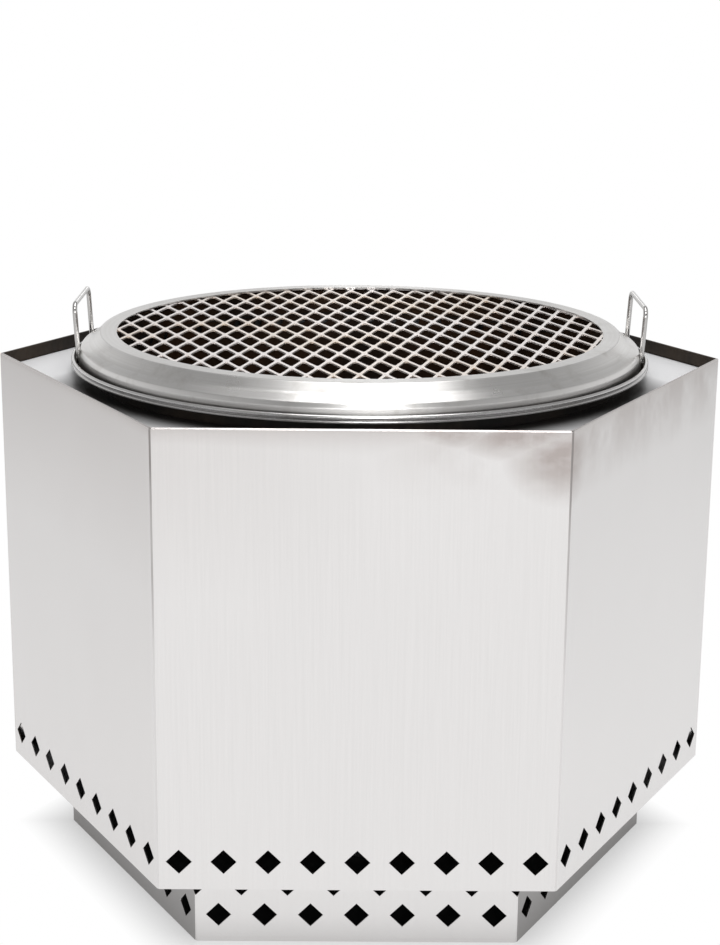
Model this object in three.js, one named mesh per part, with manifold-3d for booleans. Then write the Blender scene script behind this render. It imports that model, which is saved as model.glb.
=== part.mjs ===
// Smokeless fire pit: a six-sided surround of bent stainless sheet on a recessed vented base,
// a double-walled burn drum that hangs in the surround by its rim, a fire grate and an ash pan
// inside the drum, and a lift-off raised ring that carries an expanded-metal grille.
// Millimetres, +Z up. The origin is on the ground, on the axis of the drum.
// One flat face looks along -Y, and the two sheet seams are on the corners at +X and -X.

import * as THREE from 'three';
import { mergeVertices } from 'three/addons/utils/BufferGeometryUtils.js';
import Module from 'manifold-3d';

const wasm = await Module();
wasm.setup();

const { degToRad } = THREE.MathUtils;

// Clearance between pieces that seat on each other, overrun of every cut, weld of shared corners
const seatGap = 0.3;
const cutOverrun = 4;
const weldDistance = 0.0001;

// Facets of the turned pieces. Pieces that nest in each other share a count.
const rimFacets = 48;
const drumFacets = 36;
const innerWallFacets = 60;
const holeSides = 6;
const burnHoleSides = 5;
const fastenerSides = 6;

// Six-sided casing
const casingCornerRadius = 345;
const casingHeight = 411;
const casingSheet = 1.2;
const casingBendRadius = 3;
const bendSteps = 3;
const hemThickness = 2.8;
const hemHeight = 12;
const hemRound = 0.8;

// Recessed base under the casing, set back from it at the corners
const baseSetback = 56.4;
const baseHeight = 76;
const baseSheet = 1.5;
const baseTopFlange = 28;
const baseFootFlange = 22;
const flangeRelief = 2;

// Square vents, punched standing on a corner
const ventDiagonal = 22.6;
const casingVentsPerFace = 9;
const casingVentMargin = 18.5;
const casingVentHeight = 26;
const baseVentsPerFace = 7;
const baseLowerVentHeight = 26.4;
const baseUpperVentHeight = 56.4;

// Inward flanges and rivets of the two seams
const seamFlange = 20;
const seamRivetInset = 12;
const seamEndMargin = 6;
const casingRivetsPerSeam = 3;
const rivetRadius = 2.2;
const rivetHoleRadius = 2.8;
const rivetHeadRadius = 4.6;
const rivetHeadHeight = 1.6;

// Shelf let into the top of the casing, on angle brackets
const shelfDepth = 13.5;
const shelfSheet = 1.5;
const shelfCornerRelief = 4;
const shelfCollarInset = 17.8;
const bracketLeg = 18;
const bracketSheet = 1.5;
const bracketLength = 140;

// Floor tray between the casing and the base
const traySheet = 1.5;
const trayRim = 10;
const trayOpeningRadius = 150;

// Bolts and nuts that clamp the tray to the base
const boltRadius = 2.9;
const boltHoleRadius = 3.5;
const boltHeadRadius = 5.8;
const boltHeadHeight = 3.8;
const nutHeight = 4.6;
const boltTail = 2.5;
const boltInset = 15;

// Burn drum. It hangs in the collar of the shelf with some play.
const drumSheet = 1.2;
const drumPlay = 8.4;
const drumWallSpacing = 12;
const drumTopFlange = 6;
const drumToTray = 14;
const drumSeamHeight = 6;
const drumSeamThickness = 2.4;
const intakeHoles = 12;
const intakeHoleRadius = 8;
const intakeHoleHeight = 24;
const burnHoleRadius = 4;
const burnHoleDrop = 5.8;
const ledgeHeight = 36.5;
const ledgeWidth = 14;
const ledgeFlange = 10;

// Rim of the drum: a flat ring with a double bead round its edge
const rimSheet = 1.2;
const rimRise = 0.8;
const beadToCasing = 23.4;
const beadThickness = 3.6;
const beadHeight = 7;
const beadRound = 1;
const beadGroove = 0.9;

// Ash pan and fire grate
const panPlay = 5;
const panSheet = 1.2;
const gratePlay = 5;
const grateThickness = 3;
const slotLength = 62;
const slotWidth = 10;
const slotRingShares = [
  { out: 0.33, count: 10 },
  { out: 0.71, count: 20 },
];

// Raised ring of the lift-off lid: a flat band, a hollow slope, a shoulder and a steep lip.
// Insets run inwards from its edge, and lifts upwards from the rim.
const ringSheet = 1.2;
const ringPlay = 3.7;
const ringLipInset = 0.6;
const ringLipLift = 10.3;
const ringShoulderInset = 2.1;
const ringShoulderLift = 14.5;
const ringSlopeInset = 11.7;
const ringSlopeLift = 19.4;
const ringBandInset = 20.9;
const ringBandLift = 28;
const ringMouthInset = 35.7;

// Expanded-metal grille and the collar that holds it up into the ring
const grilleOverlap = 5;
const grilleThickness = 1.5;
const strandWidth = 2.4;
const shortWay = 22.6;
const longWay = 60.9;
const meshTurn = 4;
const meshBond = new THREE.Vector2(-19.2, -116.8);
const smallestGapShare = 0.3;
const collarSheet = 1.2;

// Wire handles of the lid
const wireRadius = 2.3;
const wireSides = 8;
const handleWidth = 86.8;
const handleHeight = 56.2;
const handleBendRadius = 8;
const handleFootProud = 0.3;
const handleLean = 3;

// Radii worked out from the sizes above
const cos30 = Math.cos(Math.PI / 6);
const tan30 = Math.tan(Math.PI / 6);
const casingApothem = casingCornerRadius * cos30;
const casingInside = casingApothem - casingSheet;
const baseCornerRadius = casingCornerRadius - baseSetback;
const baseApothem = baseCornerRadius * cos30;
const boltCircle = baseApothem - baseSheet - boltInset;
const beadOuterRadius = casingInside - beadToCasing;
const beadInnerRadius = beadOuterRadius - beadThickness;
const shelfCollarRadius = beadOuterRadius - shelfCollarInset;
const drumOuterRadius = shelfCollarRadius - drumPlay;
const drumInnerRadius = drumOuterRadius - drumWallSpacing;
const panRadius = drumInnerRadius - ledgeWidth - panPlay;
const grateRadius = drumInnerRadius - gratePlay;
const ringEdgeRadius = beadInnerRadius - ringPlay;
const ringMouthRadius = ringEdgeRadius - ringMouthInset;
const handleFootRadius = ringEdgeRadius + handleFootProud;
const collarRadius = drumInnerRadius;
const grilleRadius = collarRadius + grilleOverlap;

// Levels worked out from the sizes above
const casingBottom = baseHeight;
const casingTop = casingBottom + casingHeight;
const shelfTop = casingTop - shelfDepth;
const shelfBottom = shelfTop - shelfSheet;
const trayTop = casingBottom + traySheet;
const rimBottom = casingTop - rimRise - rimSheet;
const rimTop = rimBottom + rimSheet;
const drumFloorBottom = trayTop + drumToTray;
const drumFloorTop = drumFloorBottom + drumSheet;
const drumWallTop = rimBottom - seatGap;
const ledgeTop = drumFloorTop + ledgeHeight;
const ledgeFoot = ledgeTop - ledgeFlange;
const grateBottom = ledgeTop + seatGap;
const lidBottom = rimTop + seatGap;
const bandTop = rimTop + ringBandLift;
const grilleTop = bandTop - ringSheet - seatGap;
const grilleBottom = grilleTop - grilleThickness;

const HEX_FACES = 6;
const FACE_TURN = Math.PI / 3;
const FRONT_FACE = -Math.PI / 2;
const HALF_FACES = [FRONT_FACE - FACE_TURN, FRONT_FACE, FRONT_FACE + FACE_TURN];

// Finishes
const brushedSteel = new THREE.MeshStandardMaterial({ color: 0xd9d7d5, roughness: 0.38, metalness: 1 });
const shelfSteel = new THREE.MeshStandardMaterial({ color: 0xd6d6d8, roughness: 0.3, metalness: 1 });
const turnedSteel = new THREE.MeshStandardMaterial({ color: 0xc9c8c6, roughness: 0.24, metalness: 1 });
const polishedSteel = new THREE.MeshStandardMaterial({ color: 0xdcdcdc, roughness: 0.15, metalness: 1 });
const grilleSteel = new THREE.MeshStandardMaterial({ color: 0xd8cfc6, roughness: 0.45, metalness: 1 });
const heatedSteel = new THREE.MeshStandardMaterial({ color: 0x5b5049, roughness: 0.5, metalness: 1 });
const galvanisedSteel = new THREE.MeshStandardMaterial({ color: 0xa9abad, roughness: 0.5, metalness: 1 });
const fastenerSteel = new THREE.MeshStandardMaterial({ color: 0xb9babb, roughness: 0.35, metalness: 1 });

// Corner triples of a mesh, without those that the weld made into a line
function wholeTriangles(geometry) {
  const corner = geometry.index.array;
  const kept = [];
  for (let i = 0; i < corner.length; i += 3) {
    const [a, b, c] = [corner[i], corner[i + 1], corner[i + 2]];
    if (a !== b && b !== c && c !== a) kept.push([a, b, c]);
  }
  return kept;
}

function signedVolume(geometry, triangles) {
  const points = geometry.getAttribute('position');
  const [p, q, r] = [new THREE.Vector3(), new THREE.Vector3(), new THREE.Vector3()];
  let sum = 0;
  for (const [a, b, c] of triangles) {
    p.fromBufferAttribute(points, a);
    q.fromBufferAttribute(points, b);
    r.fromBufferAttribute(points, c);
    sum += p.dot(q.cross(r));
  }
  return sum;
}

// A closed three.js geometry as a solid that can be joined and cut
function solid(geometry) {
  const bare = geometry.clone();
  bare.deleteAttribute('normal');
  bare.deleteAttribute('uv');
  const welded = mergeVertices(bare, weldDistance);
  let triangles = wholeTriangles(welded);
  if (signedVolume(welded, triangles) < 0) triangles = triangles.map(([a, b, c]) => [a, c, b]);
  return new wasm.Manifold(new wasm.Mesh({
    numProp: 3,
    vertProperties: new Float32Array(welded.getAttribute('position').array),
    triVerts: new Uint32Array(triangles.flat()),
  }));
}

function joined(bodies) {
  return bodies.reduce((whole, body) => whole.add(body));
}

function cutBy(body, cutters) {
  return cutters.reduce((left, cutter) => left.subtract(cutter), body);
}

// A named mesh of the finished solid
function piece(name, body, material) {
  const { vertProperties, triVerts } = body.getMesh();
  const geometry = new THREE.BufferGeometry();
  geometry.setAttribute('position', new THREE.BufferAttribute(vertProperties, 3));
  geometry.setIndex(new THREE.BufferAttribute(triVerts, 1));
  geometry.computeVertexNormals();
  const mesh = new THREE.Mesh(geometry, material);
  mesh.name = name;
  return mesh;
}

// A turned piece from a closed profile of [radius, height] pairs
function turned(profile, facets) {
  const points = profile.map(([radius, height]) => new THREE.Vector2(radius, height));
  return new THREE.LatheGeometry([...points, points[0].clone()], facets).rotateX(Math.PI / 2);
}

// A flat plate from an outline of [x, y] pairs, standing on the height given
function plate(outline, thickness, bottom, holes = []) {
  const shape = new THREE.Shape(outline.map(([x, y]) => new THREE.Vector2(x, y)));
  shape.holes = holes.map((hole) => new THREE.Path(hole.map(([x, y]) => new THREE.Vector2(x, y))));
  const geometry = new THREE.ExtrudeGeometry(shape, { depth: thickness, bevelEnabled: false });
  return geometry.translate(0, 0, bottom);
}

function circleOutline(radius, facets) {
  return Array.from({ length: facets }, (unused, i) => {
    const angle = FRONT_FACE + (2 * Math.PI * i) / facets;
    return [radius * Math.cos(angle), radius * Math.sin(angle)];
  });
}

// A bar of many sides along Y, for round and square holes
function drill(radius, length, sides) {
  return new THREE.CylinderGeometry(radius, radius, length, sides);
}

// Closed section of a sheet that lies to the left of its outer line
function sheetSection(line, thickness) {
  const points = line.map(([x, y]) => new THREE.Vector2(x, y));
  const inner = points.map((point, i) => {
    const before = points[Math.max(i - 1, 0)];
    const after = points[Math.min(i + 1, points.length - 1)];
    const from = point.clone().sub(before).normalize();
    const to = after.clone().sub(point).normalize();
    const entering = i === 0 ? to : from;
    const leaving = i === points.length - 1 ? from : to;
    const along = entering.clone().add(leaving).normalize();
    const left = new THREE.Vector2(-along.y, along.x);
    const spread = left.dot(new THREE.Vector2(-leaving.y, leaving.x));
    return point.clone().addScaledVector(left, thickness / spread);
  });
  return [...points, ...inner.reverse()].map((point) => [point.x, point.y]);
}

// Stations along a run of straight stretches with rounded bends to the left.
// A station is a point and the step that one unit of inset takes from it.
function bentRun(corners, bendRadius, endInsets = []) {
  const leftOf = (direction) => new THREE.Vector2(-direction.y, direction.x);
  const directions = corners.slice(1).map((point, i) => point.clone().sub(corners[i]).normalize());
  const first = { point: corners[0], inset: endInsets[0] ?? leftOf(directions[0]) };
  const stations = [first];
  for (let i = 1; i < corners.length - 1; i += 1) {
    const turn = directions[i - 1].angleTo(directions[i]);
    const start = corners[i].clone().addScaledVector(directions[i - 1], -bendRadius * Math.tan(turn / 2));
    const centre = start.addScaledVector(leftOf(directions[i - 1]), bendRadius);
    for (let step = 0; step <= bendSteps; step += 1) {
      const inset = leftOf(directions[i - 1]).rotateAround(new THREE.Vector2(), (turn * step) / bendSteps);
      stations.push({ point: centre.clone().addScaledVector(inset, -bendRadius), inset });
    }
  }
  const last = directions.length - 1;
  stations.push({ point: corners[corners.length - 1], inset: endInsets[1] ?? leftOf(directions[last]) });
  return stations;
}

// A closed body of one section, given as [inset, height] pairs, carried along the stations
function swept(stations, section) {
  const positions = [];
  for (const { point, inset } of stations) {
    for (const [reach, height] of section) {
      positions.push(point.x + inset.x * reach, point.y + inset.y * reach, height);
    }
  }
  const index = [];
  const count = section.length;
  for (let i = 0; i < stations.length - 1; i += 1) {
    for (let j = 0; j < count; j += 1) {
      const [a, b] = [i * count + j, i * count + ((j + 1) % count)];
      index.push(a, b, a + count, b, b + count, a + count);
    }
  }
  const caps = THREE.ShapeUtils.triangulateShape(section.map(([x, y]) => new THREE.Vector2(x, y)), []);
  const end = (stations.length - 1) * count;
  for (const [a, b, c] of caps) {
    index.push(a, c, b, end + a, end + b, end + c);
  }
  const geometry = new THREE.BufferGeometry();
  geometry.setAttribute('position', new THREE.Float32BufferAttribute(positions, 3));
  geometry.setIndex(index);
  return geometry;
}

function hexCorner(cornerRadius, angle) {
  return new THREE.Vector2(cornerRadius * Math.cos(angle), cornerRadius * Math.sin(angle));
}

// Outline of a hexagon whose faces lie at the apothem, with its corners cut back by the relief
function hexOutline(apothem, relief) {
  const outline = [];
  for (let i = 0; i < HEX_FACES; i += 1) {
    const face = FRONT_FACE + i * FACE_TURN;
    const half = apothem * tan30 - relief;
    for (const side of [-half, half]) {
      outline.push([
        apothem * Math.cos(face) - side * Math.sin(face),
        apothem * Math.sin(face) + side * Math.cos(face),
      ]);
    }
  }
  return outline;
}

// Half of a six-sided wall, from the seam at -X round the front to the seam at +X
function halfWall(cornerRadius, bendRadius, section) {
  const corners = [Math.PI, FRONT_FACE - FACE_TURN / 2, FRONT_FACE + FACE_TURN / 2, 0]
    .map((angle) => hexCorner(cornerRadius, angle));
  const toSeam = seatGap / 2 / cos30;
  corners[0].addScaledVector(corners[1].clone().sub(corners[0]).normalize(), toSeam);
  corners[3].addScaledVector(corners[2].clone().sub(corners[3]).normalize(), toSeam);
  const alongSeam = [new THREE.Vector2(1 / cos30, 0), new THREE.Vector2(-1 / cos30, 0)];
  return swept(bentRun(corners, bendRadius, alongSeam), section);
}

// Inward flange of a half wall at a seam. The side is -1 at -X and 1 at +X.
function seamFlangePlate(side, cornerRadius, sheet, bottom, top) {
  const near = seatGap / 2;
  const far = near + sheet;
  const outline = [
    [cornerRadius - near * tan30, -near],
    [cornerRadius - seamFlange, -near],
    [cornerRadius - seamFlange, -far],
    [cornerRadius - far * tan30 - sheet * tan30, -far],
  ];
  return plate(outline.map(([x, y]) => [side * x, y]), top - bottom, bottom);
}

function seamRivetHoles(cornerRadius, heights) {
  return [-1, 1].flatMap((side) => heights.map((height) => solid(
    drill(rivetHoleRadius, cutOverrun * 2, holeSides).translate(side * (cornerRadius - seamRivetInset), 0, height),
  )));
}

// Flat inward flange of one face, mitred at its ends, reaching into the wall's sheet
function faceFlange(face, apothem, sheet, width, bottom) {
  const outer = apothem - sheet / 2;
  const inner = apothem - sheet - width;
  const halfAt = (distance) => distance * tan30 - flangeRelief;
  const outline = [
    [-halfAt(outer), outer],
    [halfAt(outer), outer],
    [halfAt(inner), inner],
    [-halfAt(inner), inner],
  ];
  return plate(outline, sheet, bottom).rotateZ(face - Math.PI / 2);
}

// Cutter of one square vent that stands on its corner, along a direction from the axis
function ventCutter(direction, distance, along, height, narrowing) {
  return drill(ventDiagonal / 2, cutOverrun * 2, 4)
    .scale(narrowing, 1, 1)
    .translate(along, distance, height)
    .rotateZ(direction - Math.PI / 2);
}

function evenHeights(bottom, top, count) {
  return Array.from({ length: count }, (unused, i) => bottom + ((top - bottom) * (i + 0.5)) / count);
}

const casingSeam = [trayTop + trayRim + seamEndMargin, shelfBottom - bracketLeg];
const casingRivetHeights = evenHeights(...casingSeam, casingRivetsPerSeam);
const baseWallTop = casingBottom - seatGap;
const baseSeam = [baseSheet + seamEndMargin, baseWallTop - baseSheet - seamEndMargin];
const baseRivetHeights = evenHeights(...baseSeam, 1);

// Bent sheet of three casing faces, with a folded hem at its top
function casingHalf() {
  const section = [
    [0, casingBottom],
    [casingSheet, casingBottom],
    [casingSheet, casingTop - hemHeight],
    [hemThickness, casingTop - hemHeight],
    [hemThickness, casingTop - hemRound],
    [hemThickness - hemRound, casingTop],
    [hemRound, casingTop],
    [0, casingTop - hemRound],
  ];
  const parts = [
    halfWall(casingCornerRadius, casingBendRadius, section),
    seamFlangePlate(-1, casingCornerRadius, casingSheet, ...casingSeam),
    seamFlangePlate(1, casingCornerRadius, casingSheet, ...casingSeam),
  ];
  const pitch = (casingCornerRadius - 2 * casingVentMargin) / (casingVentsPerFace - 1);
  const vents = HALF_FACES.flatMap((face) => Array.from({ length: casingVentsPerFace }, (unused, i) => {
    const along = pitch * (i - (casingVentsPerFace - 1) / 2);
    return solid(ventCutter(face, casingApothem, along, casingBottom + casingVentHeight, 1));
  }));
  const holes = seamRivetHoles(casingCornerRadius, casingRivetHeights);
  return cutBy(joined(parts.map(solid)), [...vents, ...holes]);
}

// Bent sheet of three base faces, with two staggered rows of vents. The upper row runs
// over the two bends, and flanges turn in at the top and at the ground.
function baseHalf() {
  const section = [[0, 0], [baseSheet, 0], [baseSheet, baseWallTop], [0, baseWallTop]];
  const parts = [
    halfWall(baseCornerRadius, casingBendRadius, section),
    seamFlangePlate(-1, baseCornerRadius, baseSheet, ...baseSeam),
    seamFlangePlate(1, baseCornerRadius, baseSheet, ...baseSeam),
    ...HALF_FACES.map((face) => faceFlange(face, baseApothem, baseSheet, baseTopFlange, baseWallTop - baseSheet)),
    ...HALF_FACES.map((face) => faceFlange(face, baseApothem, baseSheet, baseFootFlange, 0)),
  ];
  const pitch = baseCornerRadius / baseVentsPerFace;
  const vents = [];
  for (const face of HALF_FACES) {
    for (let i = 0; i < baseVentsPerFace; i += 1) {
      const along = pitch * (i - (baseVentsPerFace - 1) / 2);
      vents.push(ventCutter(face, baseApothem, along, baseLowerVentHeight, 1));
    }
    for (let i = 1; i < baseVentsPerFace; i += 1) {
      const along = pitch * (i - baseVentsPerFace / 2);
      vents.push(ventCutter(face, baseApothem, along, baseUpperVentHeight, 1));
    }
  }
  for (const bend of [FRONT_FACE - FACE_TURN / 2, FRONT_FACE + FACE_TURN / 2]) {
    vents.push(ventCutter(bend, baseCornerRadius, 0, baseUpperVentHeight, cos30));
  }
  const boltHoles = HALF_FACES.map((face) => drill(boltHoleRadius, cutOverrun * 2, holeSides)
    .rotateX(Math.PI / 2)
    .translate(boltCircle * Math.cos(face), boltCircle * Math.sin(face), baseWallTop));
  const cutters = [...vents, ...boltHoles].map(solid);
  return cutBy(joined(parts.map(solid)), [...cutters, ...seamRivetHoles(baseCornerRadius, baseRivetHeights)]);
}

// Shelf let into the casing, open round the collar
function shelfPlate() {
  const outline = hexOutline(casingInside - seatGap, shelfCornerRelief);
  const hole = circleOutline(shelfCollarRadius + shelfSheet + seatGap, rimFacets);
  return solid(plate(outline, shelfSheet, shelfBottom, [hole]));
}

// Upright collar in the shelf, under the rim of the drum
function shelfCollar() {
  return solid(turned([
    [shelfCollarRadius, shelfBottom],
    [shelfCollarRadius + shelfSheet, shelfBottom],
    [shelfCollarRadius + shelfSheet, rimBottom - seatGap],
    [shelfCollarRadius, rimBottom - seatGap],
  ], rimFacets));
}

// Angle bracket under the shelf, drawn for the face at +Y
function shelfBracket() {
  const top = shelfBottom - seatGap;
  const back = casingInside - seatGap;
  const corner = [[back, top], [back - bracketLeg, top], [back - bracketLeg, top - bracketSheet],
    [back - bracketSheet, top - bracketSheet], [back - bracketSheet, top - bracketLeg], [back, top - bracketLeg]];
  const ends = [new THREE.Vector2(bracketLength / 2, 0), new THREE.Vector2(-bracketLength / 2, 0)];
  const run = ends.map((point) => ({ point, inset: new THREE.Vector2(0, 1) }));
  return solid(swept(run, corner));
}

// Six-sided tray that closes the casing below, with upturned rims and a wide air opening
function floorTray() {
  const apothem = casingInside - seatGap;
  const opening = circleOutline(trayOpeningRadius, drumFacets);
  const floor = plate(hexOutline(apothem, shelfCornerRelief), traySheet, casingBottom, [opening]);
  const half = apothem * tan30 - shelfCornerRelief;
  const rim = [[-half, apothem], [half, apothem], [half, apothem - traySheet], [-half, apothem - traySheet]];
  const rims = Array.from({ length: HEX_FACES }, (unused, i) => plate(rim, traySheet + trayRim, casingBottom)
    .rotateZ(i * FACE_TURN));
  const boltHoles = Array.from({ length: HEX_FACES }, (unused, i) => {
    const face = FRONT_FACE + i * FACE_TURN;
    return drill(boltHoleRadius, cutOverrun * 2, holeSides)
      .rotateX(Math.PI / 2)
      .translate(boltCircle * Math.cos(face), boltCircle * Math.sin(face), casingBottom);
  });
  return cutBy(joined([floor, ...rims].map(solid)), boltHoles.map(solid));
}

// Blind rivet, set, along Z with the middle of its grip at the origin
function seamRivet(sheet) {
  const grip = seatGap / 2 + sheet + seatGap;
  return solid(turned([
    [0, -grip - rivetHeadHeight],
    [rivetHeadRadius, -grip - rivetHeadHeight],
    [rivetHeadRadius, -grip],
    [rivetRadius, -grip],
    [rivetRadius, grip],
    [rivetHeadRadius, grip],
    [rivetHeadRadius, grip + rivetHeadHeight],
    [0, grip + rivetHeadHeight],
  ], fastenerSides));
}

// Hexagon-head bolt, down through the tray and the base flange
function trayBolt() {
  const seat = trayTop + seatGap;
  const tail = baseWallTop - baseSheet - seatGap - nutHeight - boltTail;
  return solid(turned([
    [0, tail],
    [boltRadius, tail],
    [boltRadius, seat],
    [boltHeadRadius, seat],
    [boltHeadRadius, seat + boltHeadHeight],
    [0, seat + boltHeadHeight],
  ], fastenerSides));
}

function trayNut() {
  const top = baseWallTop - baseSheet - seatGap;
  return solid(turned([
    [boltHoleRadius, top - nutHeight],
    [boltHeadRadius, top - nutHeight],
    [boltHeadRadius, top],
    [boltHoleRadius, top],
  ], fastenerSides));
}

// Outer wall of the drum, with a top flange under the rim and air intakes near its foot
function drumOuterWall() {
  const inside = drumOuterRadius - drumSheet;
  const bottom = drumFloorTop + seatGap;
  const wall = solid(turned([
    [inside, bottom],
    [drumOuterRadius, bottom],
    [drumOuterRadius, drumWallTop - drumSheet],
    [drumOuterRadius + drumTopFlange, drumWallTop - drumSheet],
    [drumOuterRadius + drumTopFlange, drumWallTop],
    [inside, drumWallTop],
  ], drumFacets));
  const holes = Array.from({ length: intakeHoles }, (unused, i) => solid(
    drill(intakeHoleRadius, cutOverrun * 2, holeSides)
      .translate(0, drumOuterRadius, drumFloorTop + intakeHoleHeight)
      .rotateZ((2 * Math.PI * (i + 0.25)) / intakeHoles),
  ));
  return cutBy(wall, holes);
}

// Floor of the drum, rolled up round the foot of the outer wall
function drumFloor() {
  const rollInside = drumOuterRadius + seatGap;
  const rollTop = drumFloorBottom + drumSeamHeight;
  return solid(turned([
    [0, drumFloorBottom],
    [rollInside + drumSeamThickness, drumFloorBottom],
    [rollInside + drumSeamThickness, rollTop],
    [rollInside, rollTop],
    [rollInside, drumFloorTop],
    [0, drumFloorTop],
  ], drumFacets));
}

// Inner wall of the drum, with a ring of burn holes under the rim
function drumInnerWall() {
  const wall = solid(turned([
    [drumInnerRadius, ledgeFoot],
    [drumInnerRadius + drumSheet, ledgeFoot],
    [drumInnerRadius + drumSheet, drumWallTop],
    [drumInnerRadius, drumWallTop],
  ], innerWallFacets));
  const holes = Array.from({ length: innerWallFacets }, (unused, i) => solid(
    drill(burnHoleRadius, cutOverrun * 2, burnHoleSides)
      .translate(0, drumInnerRadius, drumWallTop - burnHoleDrop)
      .rotateZ((2 * Math.PI * (i + 0.5)) / innerWallFacets),
  ));
  return cutBy(wall, holes);
}

// Angle ring inside the foot of the inner wall, on which the grate lies
function grateLedge() {
  const outside = drumInnerRadius * Math.cos(Math.PI / innerWallFacets) - seatGap;
  return solid(turned([
    [drumInnerRadius - ledgeWidth, ledgeTop - drumSheet],
    [outside - drumSheet, ledgeTop - drumSheet],
    [outside - drumSheet, ledgeFoot],
    [outside, ledgeFoot],
    [outside, ledgeTop],
    [drumInnerRadius - ledgeWidth, ledgeTop],
  ], drumFacets));
}

// Rim ring that joins the two walls and hangs the drum on the collar of the shelf
function drumRim() {
  const beadTop = rimBottom + beadHeight;
  const middle = rimBottom + beadHeight / 2;
  return solid(turned([
    [drumInnerRadius, rimBottom],
    [beadOuterRadius - beadRound, rimBottom],
    [beadOuterRadius, rimBottom + beadRound],
    [beadOuterRadius - beadGroove, middle],
    [beadOuterRadius, beadTop - beadRound],
    [beadOuterRadius - beadRound, beadTop],
    [beadInnerRadius + beadRound, beadTop],
    [beadInnerRadius, beadTop - beadRound],
    [beadInnerRadius, rimTop],
    [drumInnerRadius, rimTop],
  ], rimFacets));
}

function ashPan() {
  const bottom = drumFloorTop + seatGap;
  return solid(turned([
    [0, bottom],
    [panRadius, bottom],
    [panRadius, grateBottom - seatGap],
    [panRadius - panSheet, grateBottom - seatGap],
    [panRadius - panSheet, bottom + panSheet],
    [0, bottom + panSheet],
  ], drumFacets));
}

// Fire grate: a heavy disc with rings of radial slots
function fireGrate() {
  const disc = plate(circleOutline(grateRadius, drumFacets), grateThickness, grateBottom);
  const slots = slotRingShares.flatMap(({ out, count }) => Array.from({ length: count }, (unused, i) => solid(
    new THREE.BoxGeometry(slotLength, slotWidth, cutOverrun * 2 + grateThickness)
      .translate(grateRadius * out, 0, grateBottom)
      .rotateZ((2 * Math.PI * (i + 0.5)) / count),
  )));
  return cutBy(solid(disc), slots);
}

// Raised ring of the lid, standing on the rim of the drum.
// The lip is notched up to the shoulder where the legs of the handles stand.
function grillRing() {
  const ring = solid(turned(sheetSection([
    [ringEdgeRadius, lidBottom],
    [ringEdgeRadius - ringLipInset, rimTop + ringLipLift],
    [ringEdgeRadius - ringShoulderInset, rimTop + ringShoulderLift],
    [ringEdgeRadius - ringSlopeInset, rimTop + ringSlopeLift],
    [ringEdgeRadius - ringBandInset, bandTop],
    [ringMouthRadius, bandTop],
  ], ringSheet), rimFacets));
  const notchDepth = 2 * (ringEdgeRadius - handleFootRadius + wireRadius + seatGap);
  const notches = handleFeet().map(({ x, y }) => solid(
    new THREE.BoxGeometry(notchDepth, 2 * (wireRadius + seatGap), ringShoulderLift * 2)
      .rotateZ(Math.atan2(y, x))
      .translate(x * (ringEdgeRadius / handleFootRadius), y * (ringEdgeRadius / handleFootRadius), rimTop),
  ));
  return cutBy(ring, notches);
}

// Expanded-metal grille. The long way of the mesh runs front to back, turned a little.
// Each gap is the diamond between four bonds, less half a strand on every side.
function grille() {
  const side = Math.hypot(shortWay, longWay) / 2;
  const reach = (shortWay * longWay) / (4 * side);
  const openShare = (reach - strandWidth / 2) / reach;
  const [halfShort, halfLong] = [(shortWay / 2) * openShare, (longWay / 2) * openShare];
  const diamond = [[halfShort, 0], [0, halfLong], [-halfShort, 0], [0, -halfLong]];
  const disc = solid(plate(circleOutline(grilleRadius, rimFacets), grilleThickness, grilleBottom));
  const margin = solid(plate(circleOutline(ringMouthRadius, rimFacets), grilleThickness, grilleBottom));
  const rows = Math.ceil((2 * grilleRadius) / longWay) + 2;
  const columns = Math.ceil((2 * grilleRadius) / shortWay) + 2;
  const wholeGap = 2 * halfShort * halfLong * grilleThickness;
  let sheet = disc;
  for (let row = -2 * rows; row <= 2 * rows; row += 1) {
    for (let column = -columns; column <= columns; column += 1) {
      const centre = new THREE.Vector2(
        shortWay * (column + (row % 2 === 0 ? 0 : 0.5)),
        (longWay / 2) * (row + 1),
      ).rotateAround(new THREE.Vector2(), degToRad(meshTurn)).add(meshBond);
      if (centre.length() > ringMouthRadius + halfLong) continue;
      const gap = solid(plate(diamond, grilleThickness * 3, grilleBottom - grilleThickness)
        .rotateZ(degToRad(meshTurn))
        .translate(centre.x, centre.y, 0));
      const open = gap.intersect(margin);
      if (open.volume() > smallestGapShare * wholeGap) sheet = sheet.subtract(open);
    }
  }
  return sheet;
}

// Collar under the grille: a flange that holds the grille up and a skirt down to the rim
function grilleCollar() {
  const top = grilleBottom - seatGap;
  return solid(turned([
    [collarRadius, lidBottom],
    [collarRadius + collarSheet, lidBottom],
    [collarRadius + collarSheet, top - collarSheet],
    [grilleRadius, top - collarSheet],
    [grilleRadius, top],
    [collarRadius, top],
  ], rimFacets));
}

// Feet of the two handles in plan
function handleFeet() {
  const halfWidth = handleWidth / 2;
  const out = Math.sqrt(handleFootRadius ** 2 - halfWidth ** 2);
  return [[out, halfWidth], [out, -halfWidth], [-out, halfWidth], [-out, -halfWidth]]
    .map(([x, y]) => new THREE.Vector2(x, y));
}

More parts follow.
